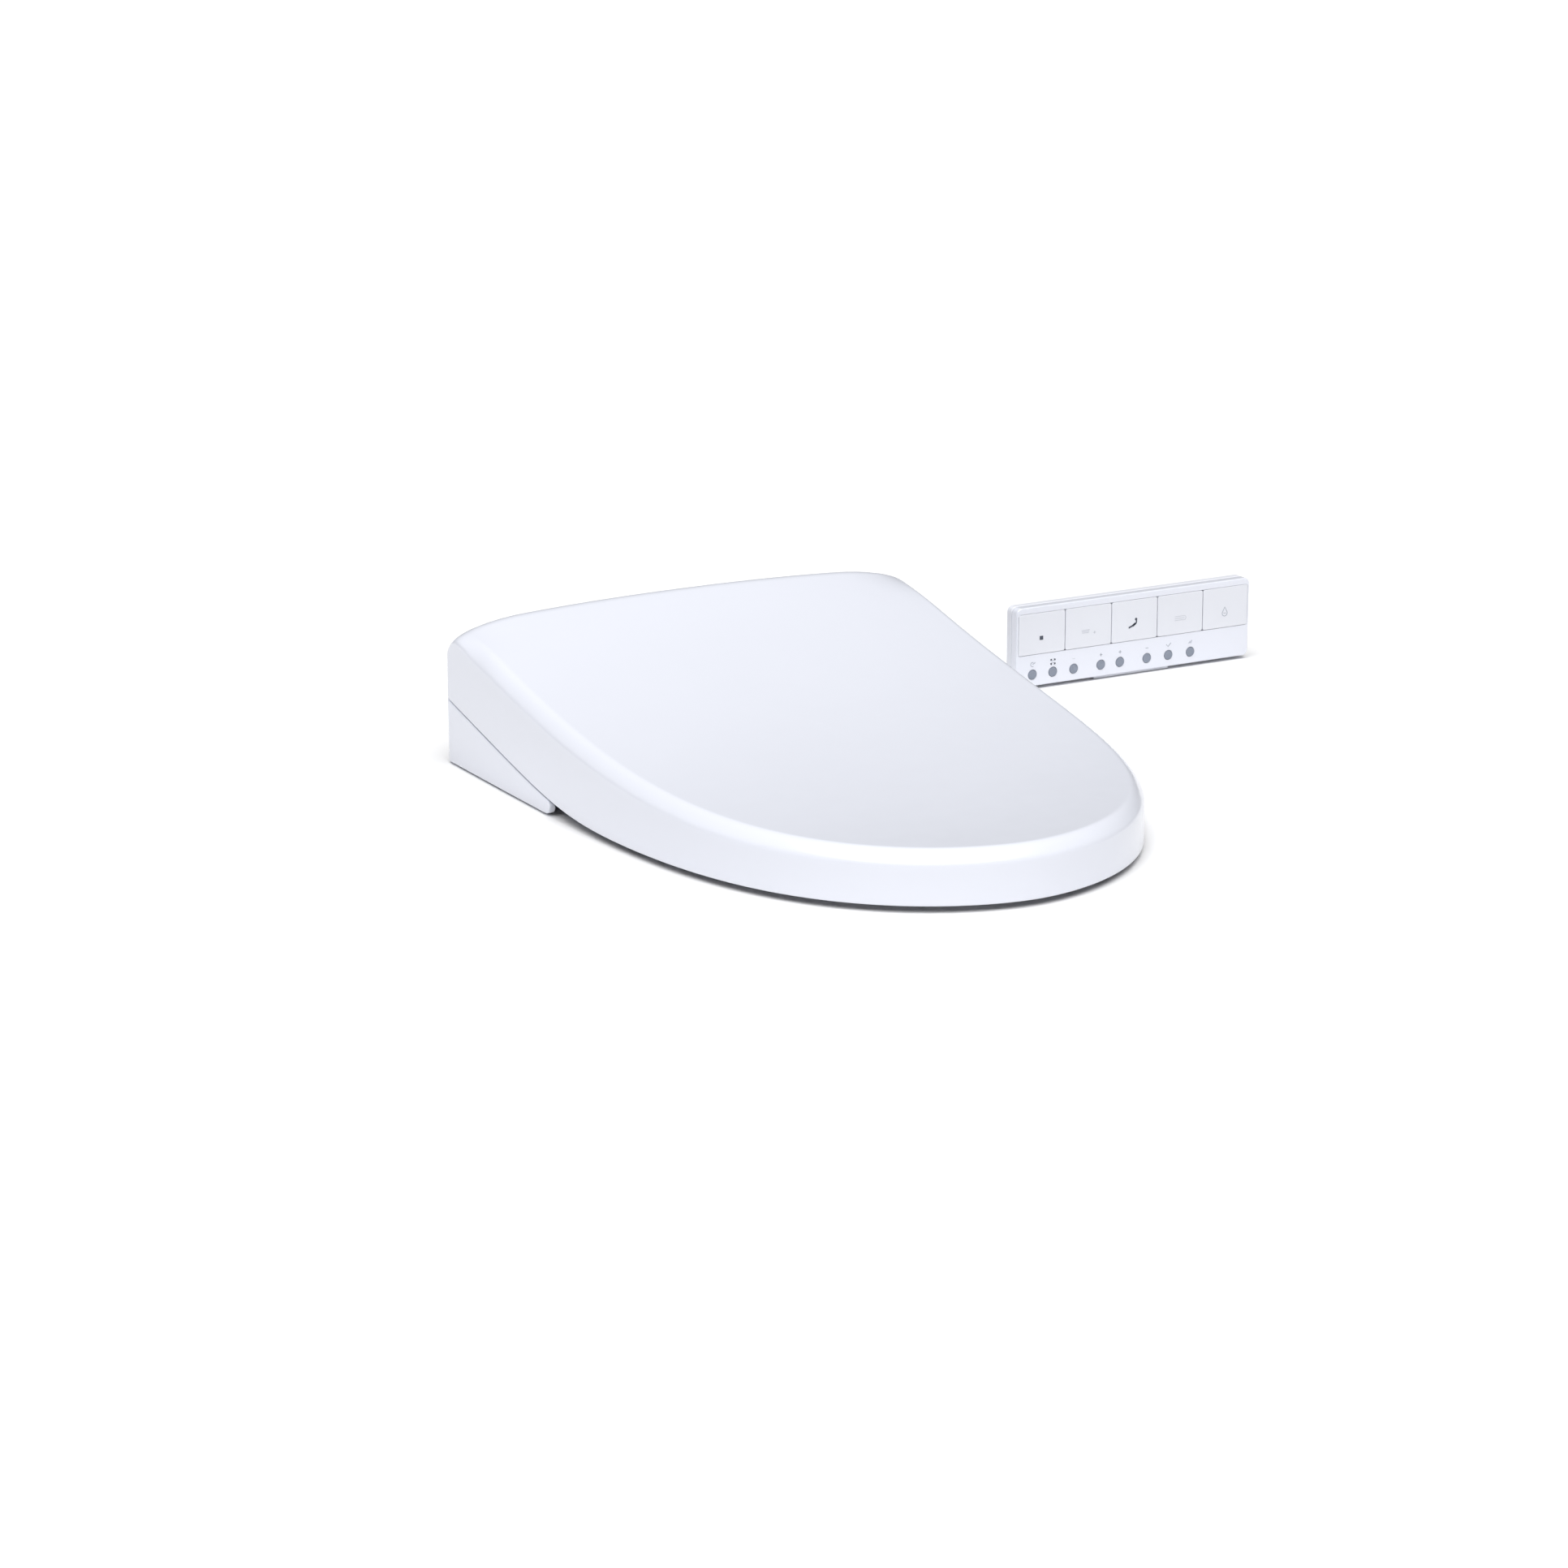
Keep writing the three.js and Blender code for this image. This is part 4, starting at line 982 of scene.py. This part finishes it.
def heater_foil():
    made, nodes, links, shader = material_nodes("heater_foil")
    wave = texture_node(nodes, links, "ShaderNodeTexWave", 60)
    wave.inputs["Distortion"].default_value = 1.5
    pattern = wave.outputs["Fac"]
    copper = tint(nodes, links, pattern, (0.35, 0.17, 0.07), (0.66, 0.38, 0.19))
    links.new(copper, shader.inputs["Base Color"])
    links.new(spread(nodes, links, pattern, 0.3, 0.5), shader.inputs["Roughness"])
    shader.inputs["Metallic"].default_value = 0.8
    return made


def print_ink(name, colour):
    """Printed marks: matt ink with a slightly uneven density."""
    made, nodes, links, shader = material_nodes(name)
    pattern = noise(nodes, links, 1500)
    links.new(tint(nodes, links, pattern, scaled(colour, 0.85), colour), shader.inputs["Base Color"])
    links.new(spread(nodes, links, pattern, 0.5, 0.65), shader.inputs["Roughness"])
    return made


WHITE = (0.79, 0.81, 0.885)

MATERIALS = {
    make.__name__: make()
    for make in (gloss_white, satin_white, grey_plastic, dark_plastic, rubber, steel, brass,
                 board_green, heater_foil, button_blue)
}
INK_DARK = print_ink("ink_dark", (0.07, 0.08, 0.11))
INK_GREY = print_ink("ink_grey", (0.40, 0.43, 0.50))
INK_PALE = print_ink("ink_pale", (0.62, 0.64, 0.70))
LAMP_GREEN = print_ink("lamp_green", (0.10, 0.42, 0.16))


# ---- Remote ----------------------------------------------

def remote_origin():
    centre, size = node_size("remote_back_case")
    return Vector((centre.x, centre.y + size.y / 2 + REMOTE_BACK_LIFT, centre.z))


def on_remote(x, y, z):
    """A point in the remote's own axes, in the frame."""
    return (remote_origin() + REMOTE_AXES @ Vector((x, y, z))) * MM


def remote_matrix(x, y):
    """Puts a turned shape's axis out of the remote's face at (x, y), in mm."""
    axes = Matrix.Translation(remote_origin()) @ REMOTE_AXES.to_4x4()
    return axes @ Matrix.Translation((x, y, 0))


def remote_local(node):
    """A remote node's middle, width, height and depth range in the remote's own axes."""
    centre, size = node_size(node)
    offset = centre - remote_origin()
    face = -(offset.y - size.y / 2)
    return offset.x, offset.z, size.x, size.z, face - size.y, face


def remote_slab(name, node, corner, edge, grow=0.0, depth=None):
    x, y, width, height, back, face = remote_local(node)
    if depth:
        back, face = depth
    made = rounded_slab(
        width + 2 * grow, height + 2 * grow, corner + grow, back, face, edge,
        lambda u, v, w: on_remote(x + u, y + v, w),
    )
    made.name = name
    return made


def remote_front():
    """The face, with one window for all the keys and a hole for each button."""
    front = remote_slab("remote_face", "remote_front_case", REMOTE_CORNER_R, FACE_EDGE_R)
    back, face = remote_local("remote_front_case")[4:]
    first, last = remote_local(KEYS[0]), remote_local(KEYS[-1])
    x0 = first[0] - first[2] / 2
    x1 = last[0] + last[2] / 2
    y, height = first[1], first[3]
    window = rounded_slab(
        x1 - x0 + 0.6, height + 0.6, 2.2, back - 1, face + 1, 0.1,
        lambda u, v, w: on_remote((x0 + x1) / 2 + u, y + v, w),
    )
    carve(front, window)
    for button in BUTTONS:
        bx, by, size = remote_local(button)[:3]
        hole = [(size / 2 + 0.3, back - 1), (size / 2 + 0.3, face + 1)]
        carve(front, turned(hole, remote_matrix(bx, by), 40))
    flat_normals(dress(front, "remote", "gloss_white", ["remote_front_case"]))


def remote_back():
    back = remote_slab("remote_back_shell", "remote_back_case", REMOTE_CORNER_R, 0.9)
    low = remote_local("remote_back_case")[4]
    hatch = remote_slab("tool", "remote_battery_cover", 2, 0.1, 0.3, (low - 1, low + 2.4))
    carve(back, hatch)
    flat_normals(dress(back, "remote", "satin_white", ["remote_back_case"]))
    cover = remote_slab("remote_battery_lid", "remote_battery_cover", 1.8, 0.3)
    x, y, width, height, outer, inner = remote_local("remote_battery_cover")
    grips = []
    for i in range(4):
        middle = y + height / 2 - 4 - 2 * i
        grips.append(rounded_slab(
            14, 0.9, 0.4, outer - 0.5, outer + 0.5, 0.05,
            lambda u, v, w, middle=middle: on_remote(x + u, middle + v, w),
        ))
    carve(cover, *grips)
    flat_normals(dress(cover, "battery_cover", "satin_white", ["remote_battery_cover"]))


def remote_keys():
    for key in KEYS:
        made = remote_slab(f"{key}_cap", key, 1.6, 0.45)
        flat_normals(dress(made, key, "satin_white", [key]))


def remote_buttons():
    """Small round buttons with a shallow dish."""
    for button in BUTTONS:
        x, y, size, _, back, face = remote_local(button)
        r = size / 2
        profile = [(r, back), (r, face - 0.5), (r - 0.15, face - 0.15), (r - 0.5, face)]
        profile += [(r - 0.9, face), (r * 0.6, face - 0.18), (r * 0.3, face - 0.25)]
        made = turned(profile, remote_matrix(x, y), 40)
        made.name = f"{button}_cap"
        dress(made, button, "button_blue", [button])


def ribbon(points, width, closed=False):
    """The pairs of points on a flat line's two sides."""
    count = len(points)
    sides = []
    for k, point in enumerate(points):
        before = points[k - 1] if closed or k else point
        after = points[(k + 1) % count] if closed or k < count - 1 else point
        direction = (Vector(after) - Vector(before)).normalized()
        normal = Vector((-direction.y, direction.x)) * width / 2
        sides.append((Vector(point) + normal, Vector(point) - normal))
    return sides


def stroke(points, width, height, closed=False):
    """A raised line along points on the remote's face, as points and faces."""
    sides = ribbon(points, width, closed)
    bottom = height - MARK_HEIGHT
    columns = []
    for left, right in sides:
        columns.append([
            on_remote(left.x, left.y, bottom), on_remote(left.x, left.y, height),
            on_remote(right.x, right.y, height), on_remote(right.x, right.y, bottom),
        ])
    return skin(columns, closed)


def dot(x, y, radius, height):
    """A raised disc on the remote's face, as points and faces."""
    bottom = height - MARK_HEIGHT
    ring = arc((x, y), radius, 0, 345, 23)
    return skin([[on_remote(u, v, z) for u, v in ring] for z in (bottom, height)])


def mark(name, parts, body, ink):
    """Strokes and dots as one printed mark."""
    points, faces = [], []
    for part_points, part_faces in parts:
        start = len(points)
        points += part_points
        faces += [tuple(start + i for i in face) for face in part_faces]
    made = mesh_object(name, points, faces)
    made.data.materials.append(ink)
    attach(made, body)
    return made


def line(x0, y0, x1, y1, width, height):
    return stroke([(x0, y0), (x1, y1)], width, height)


def stop_mark(x, y, top):
    return [line(x - 1.6, y, x + 1.6, y, 3.2, top)]


def rear_mark(x, y, top):
    """Three lines that taper, and a small plus."""
    parts = []
    for i in range(3):
        level = y + 1.2 - 1.1 * i
        parts.append(line(x - 6 + 0.3 * i, level, x + 1.5 - 0.3 * i, level, 0.35, top))
    parts.append(line(x + 5, y - 1.6, x + 7.4, y - 1.6, 0.4, top))
    parts.append(line(x + 6.2, y - 2.8, x + 6.2, y - 0.4, 0.4, top))
    return parts


def spray_mark(x, y, top):
    """A jet that rises to a seat: a wedge, an arc and a dot."""
    jet = [line(x - 5, y - 2, x - 1, y - 0.6, 1.3, top)]
    jet += [line(x - 1.4, y - 0.9, x + 1.2, y + 1, 1.8, top)]
    back = [stroke(arc((x - 0.4, y + 2.6), 2.6, -80, 20, 12), 1.2, top)]
    return jet + back + [dot(x + 1.8, y + 4.4, 1.1, top)]


def dryer_mark(x, y, top):
    """Three level lines with a hook at the end of one."""
    levels = [y + 1.7 - 1.6 * i for i in range(3)]
    rows = [line(x - 4.6, level, x + 4.4, level, 0.35, top) for level in levels]
    return rows + [stroke(arc((x + 4.4, y), 1.7, -90, 90, 12), 0.35, top)]


def drop_mark(x, y, top):
    """The outline of a drop over a short bar."""
    outline = arc((x, y - 1), 2.4, 150, 390, 24)
    outline += [(x, y + 4.2)]
    return [stroke(outline, 0.5, top, closed=True), line(x - 1.2, y - 1, x + 1.2, y - 1, 0.4, top)]


def minus_glyph(x, y, top):
    return [line(x - 1.3, y, x + 1.3, y, 0.5, top)]


def plus_glyph(x, y, top):
    return minus_glyph(x, y, top) + [line(x, y - 1.3, x, y + 1.3, 0.5, top)]


def tick_glyph(x, y, top):
    return [stroke([(x - 2, y + 0.6), (x - 0.4, y - 1.3), (x + 2.4, y + 1.5)], 0.6, top)]


def swirl_glyph(x, y, top):
    return [stroke(arc((x, y), 1.7, 60, 300, 16), 0.5, top), line(x, y, x + 2.6, y + 1.4, 0.5, top)]


def arrows_glyph(x, y, top):
    """Four short arrows that point away from the middle."""
    parts = []
    for sx in (-1, 1):
        for sy in (-1, 1):
            tip = (x + 2.1 * sx, y + 2.1 * sy)
            parts.append(line(x + 0.7 * sx, y + 0.7 * sy, *tip, 0.6, top))
            parts.append(line(tip[0] - 1.2 * sx, tip[1], *tip, 0.5, top))
            parts.append(line(tip[0], tip[1] - 1.2 * sy, *tip, 0.5, top))
    return parts


def stripes_glyph(x, y, top):
    """Three slanted lines, each longer than the last."""
    starts = [x - 1.6 + 1.1 * i for i in range(3)]
    return [line(s, y - 1.2, s + 1, y + 0.4 + 0.5 * i, 0.4, top) for i, s in enumerate(starts)]


def remote_marks():
    key_face = remote_local(KEYS[0])[5] + MARK_HEIGHT
    marks = [(stop_mark, INK_DARK), (rear_mark, INK_PALE), (spray_mark, INK_DARK),
             (dryer_mark, INK_PALE), (drop_mark, INK_GREY)]
    for key, (draw, ink) in zip(KEYS, marks):
        x = remote_local(key)[0]
        mark(f"{key}_mark", draw(x - 0.5, KEY_MARK_Y, key_face), key, ink)
    face = remote_local("remote_front_case")[5] + MARK_HEIGHT
    glyphs = [(swirl_glyph, INK_GREY), (arrows_glyph, INK_DARK), (minus_glyph, INK_PALE),
              (plus_glyph, INK_GREY), (plus_glyph, INK_GREY), (minus_glyph, INK_GREY),
              (tick_glyph, INK_GREY), (stripes_glyph, INK_GREY)]
    for button, (draw, ink) in zip(BUTTONS, glyphs):
        x, y = remote_local(button)[:2]
        mark(f"{button}_glyph", draw(x, y + GLYPH_RISE, face), "remote", ink)


def remote():
    remote_front()
    remote_back()
    remote_keys()
    remote_buttons()
    remote_marks()


# ---- Nozzle, sensors and other fittings ------------------


def nozzle_wand():
    r, tip, length = NOZZLE_R, NOZZLE_TIP, NOZZLE_LENGTH
    profile = [(r - 0.5, -length), (r, 0.5 - length), (r, -tip - 0.8), (r - 0.4, -tip - 0.35)]
    wand = turned(profile, nozzle_matrix(0))
    wand.name = "nozzle_wand_tube"
    dress(wand, "nozzle", "satin_white", ["nozzle_wand"])


def nozzle_head():
    """The wand's round-nosed tip with three jets in its top, and their drains below."""
    r, tip, nose_r = NOZZLE_R, NOZZLE_TIP, NOZZLE_NOSE_R
    turns = [math.radians(10 * i) for i in range(1, 10)]
    profile = [(r - 0.3, -tip), (r, 0.4 - tip), (r, -nose_r)]
    profile += [(r - nose_r + nose_r * math.cos(t), nose_r * math.sin(t) - nose_r) for t in turns]
    nose = turned(profile, nozzle_matrix(0))
    for along, radius in NOZZLE_JETS:
        up = nozzle_matrix(along) @ Matrix.Rotation(math.pi / 2, 4, "X")
        for low, high in ((3, 9), (-9, -3)):
            carve(nose, turned([(radius, low), (radius, high)], up, 20))
    nose.name = "nozzle_head"
    dress(nose, "nozzle", "steel", ["nozzle_tip"])


def nozzle_wiper():
    r = NOZZLE_R
    lip = [(r + 3.6, -0.4), (r + 3.2, 0), (r + 0.8, 0), (r + 0.5, -0.3)]
    wiper = turned([(r + 0.5, -3), (r + 3.6, -3), *lip], nozzle_matrix(0), loop=True)
    wiper.name = "nozzle_wiper_ring"
    dress(wiper, "base", "rubber", ["nozzle_wiper"])


def status_panel():
    """A dark panel on the casing's slope with three small lamps."""
    slope = (HUMP_BACK[1] - HUMP_FRONT[1]) / (HUMP_FRONT[0] - HUMP_BACK[0])
    tilt = math.atan(slope)
    surface = HUMP_BACK[1] - slope * (PANEL_S - HUMP_BACK[0]) + 0.3
    turn = Matrix.Rotation(tilt, 3, "X")
    origin = place(0, PANEL_S, surface)

    def on_slope(u, v, w):
        return origin + turn @ Vector((u, v, w)) * MM

    panel = rounded_slab(64, 16, 3, 0, 0.95, 0.35, on_slope)
    panel.name = "status_panel_lens"
    dress(panel, "base", "dark_plastic", ["status_panel"])
    for i, x in enumerate(LAMP_PLACES):
        lamp = rounded_slab(3, 1.6, 0.7, 0.8, 1.05, 0.1, lambda u, v, w, x=x: on_slope(x + u, v, w))
        lamp.name = f"status_lamp_{i + 1}"
        lamp.data.materials.append(LAMP_GREEN)
        smooth(lamp)
        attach(lamp, "base")


def fittings():
    for name, side in (("right", 1), ("left", -1)):
        lid_lug(name, side)
        seat_arm(name, side)
        hinge_pin(f"hinge_pin_{name}")
        hinge_damper(f"hinge_damper_{name}")
        rubber_pad(f"lid_bumper_{name}", "lid")
        rubber_pad(f"base_foot_{name}", "base")
        rubber_pad(f"seat_bumper_back_{name}", "seat")
        rubber_pad(f"seat_bumper_front_{name}", "seat")
    threaded_inlet("water_inlet", "brass", 3)
    threaded_inlet("power_inlet_gland", "dark_plastic", 2)
    small_slab("release_button", "release_button", "grey_plastic", "x", 2, 0.5)
    small_slab("sensor_window", "base", "dark_plastic", "y", 2.5, 0.4)
    small_slab("dryer_flap", "dryer_flap", "satin_white", "y", 1.5, 0.4)
    status_panel()
    nozzle_wand()
    nozzle_head()
    nozzle_wiper()


def carried_over():
    """Frame nodes that stay: the plate, and what is hidden inside the casing and the remote."""
    slots = {node: slot for slot, nodes in KEPT_NODES.items() for node in nodes}
    for name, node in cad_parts.items():
        if node.hide_render:
            continue
        node.data.materials.clear()
        node.data.materials.append(MATERIALS[slots[name]])
        bevel(node, KEPT_EDGE_R, segments=2, angle=50)


KEPT_EDGE_R = 0.35
KEPT_NODES = {
    "satin_white": ["mounting_plate", "remote_wall_bracket"],
    "grey_plastic": ["nozzle_sleeve", "fan_housing", "dryer_duct", "deodorizer_cartridge"],
    "dark_plastic": ["fan_rotor"],
    "rubber": ["plate_gasket", "nozzle_drive_roller"],
    "steel": ["nozzle_motor", "water_heater"],
    "brass": ["valve_block"],
    "board_green": ["control_board", "remote_board"],
    "heater_foil": ["seat_heater_foil"],
}


# ---- Camera, floor and light -----------------------------


CAMERA_PLACE = (-1.66509, -3.07813, 0.96465)  # metres
CAMERA_LOOK = (0.4716, 0.8382, -0.2738)
CAMERA_LENS = 110.5
CAMERA_REACH = 100
FLOOR_HALF = 30
FLOOR_Z = -0.0006
KEY_DIRECTION = (-0.2, -0.35, 0.95)
KEY_STRENGTH = 3.6
KEY_SOFTNESS = 70  # degrees
DOME = (0.06, 0.2)  # strength low down and overhead
DOME_FADE = (0.2, 1.0)  # heights between which it changes


def camera():
    data = bpy.data.cameras.new("camera")
    data.lens = CAMERA_LENS
    data.sensor_width = 36
    data.clip_end = CAMERA_REACH
    made = add_object("camera", data)
    made.location = CAMERA_PLACE
    made.rotation_euler = Vector(CAMERA_LOOK).to_track_quat("-Z", "Y").to_euler()
    bpy.context.scene.camera = made


def floor():
    span = (-FLOOR_HALF, FLOOR_HALF)
    corners = [Vector((x, y, FLOOR_Z)) for x, y in rectangle(span, span)]
    made = mesh_object("floor", corners, [(0, 1, 2, 3)])
    material, nodes, links, shader = material_nodes("floor")
    pattern = noise(nodes, links, 2)
    pale = tint(nodes, links, pattern, (0.93, 0.93, 0.935), (0.95, 0.95, 0.955))
    links.new(pale, shader.inputs["Base Color"])
    shader.inputs["Roughness"].default_value = 0.9
    shader.inputs["Specular IOR Level"].default_value = 0.1
    made.data.materials.append(material)


def soft_sun():
    """A broad, even light from above the front left."""
    data = bpy.data.lights.new("soft_key", "SUN")
    data.energy = KEY_STRENGTH
    data.angle = math.radians(KEY_SOFTNESS)
    made = add_object("soft_key", data)
    made.rotation_euler = Vector(KEY_DIRECTION).to_track_quat("Z", "Y").to_euler()


def studio():
    """A dim even dome that is brighter overhead."""
    world = bpy.data.worlds.new("studio")
    world.use_nodes = True
    nodes, links = world.node_tree.nodes, world.node_tree.links
    where = nodes.new("ShaderNodeTexCoord")
    split = nodes.new("ShaderNodeSeparateXYZ")
    fade = nodes.new("ShaderNodeMapRange")
    fade.interpolation_type = "SMOOTHSTEP"
    fade.inputs["From Min"].default_value, fade.inputs["From Max"].default_value = DOME_FADE
    fade.inputs["To Min"].default_value, fade.inputs["To Max"].default_value = DOME
    links.new(where.outputs["Generated"], split.inputs["Vector"])
    links.new(split.outputs["Z"], fade.inputs["Value"])
    links.new(fade.outputs["Result"], nodes["Background"].inputs["Strength"])
    nodes["Background"].inputs["Color"].default_value = (1, 1, 1, 1)
    bpy.context.scene.world = world
    bpy.context.scene.view_settings.view_transform = "Standard"


camera()
floor()
studio()
soft_sun()
lid_shell()
seat_upper()
seat_lower()
base_tray()
main_casing()
fittings()
remote()
carried_over()
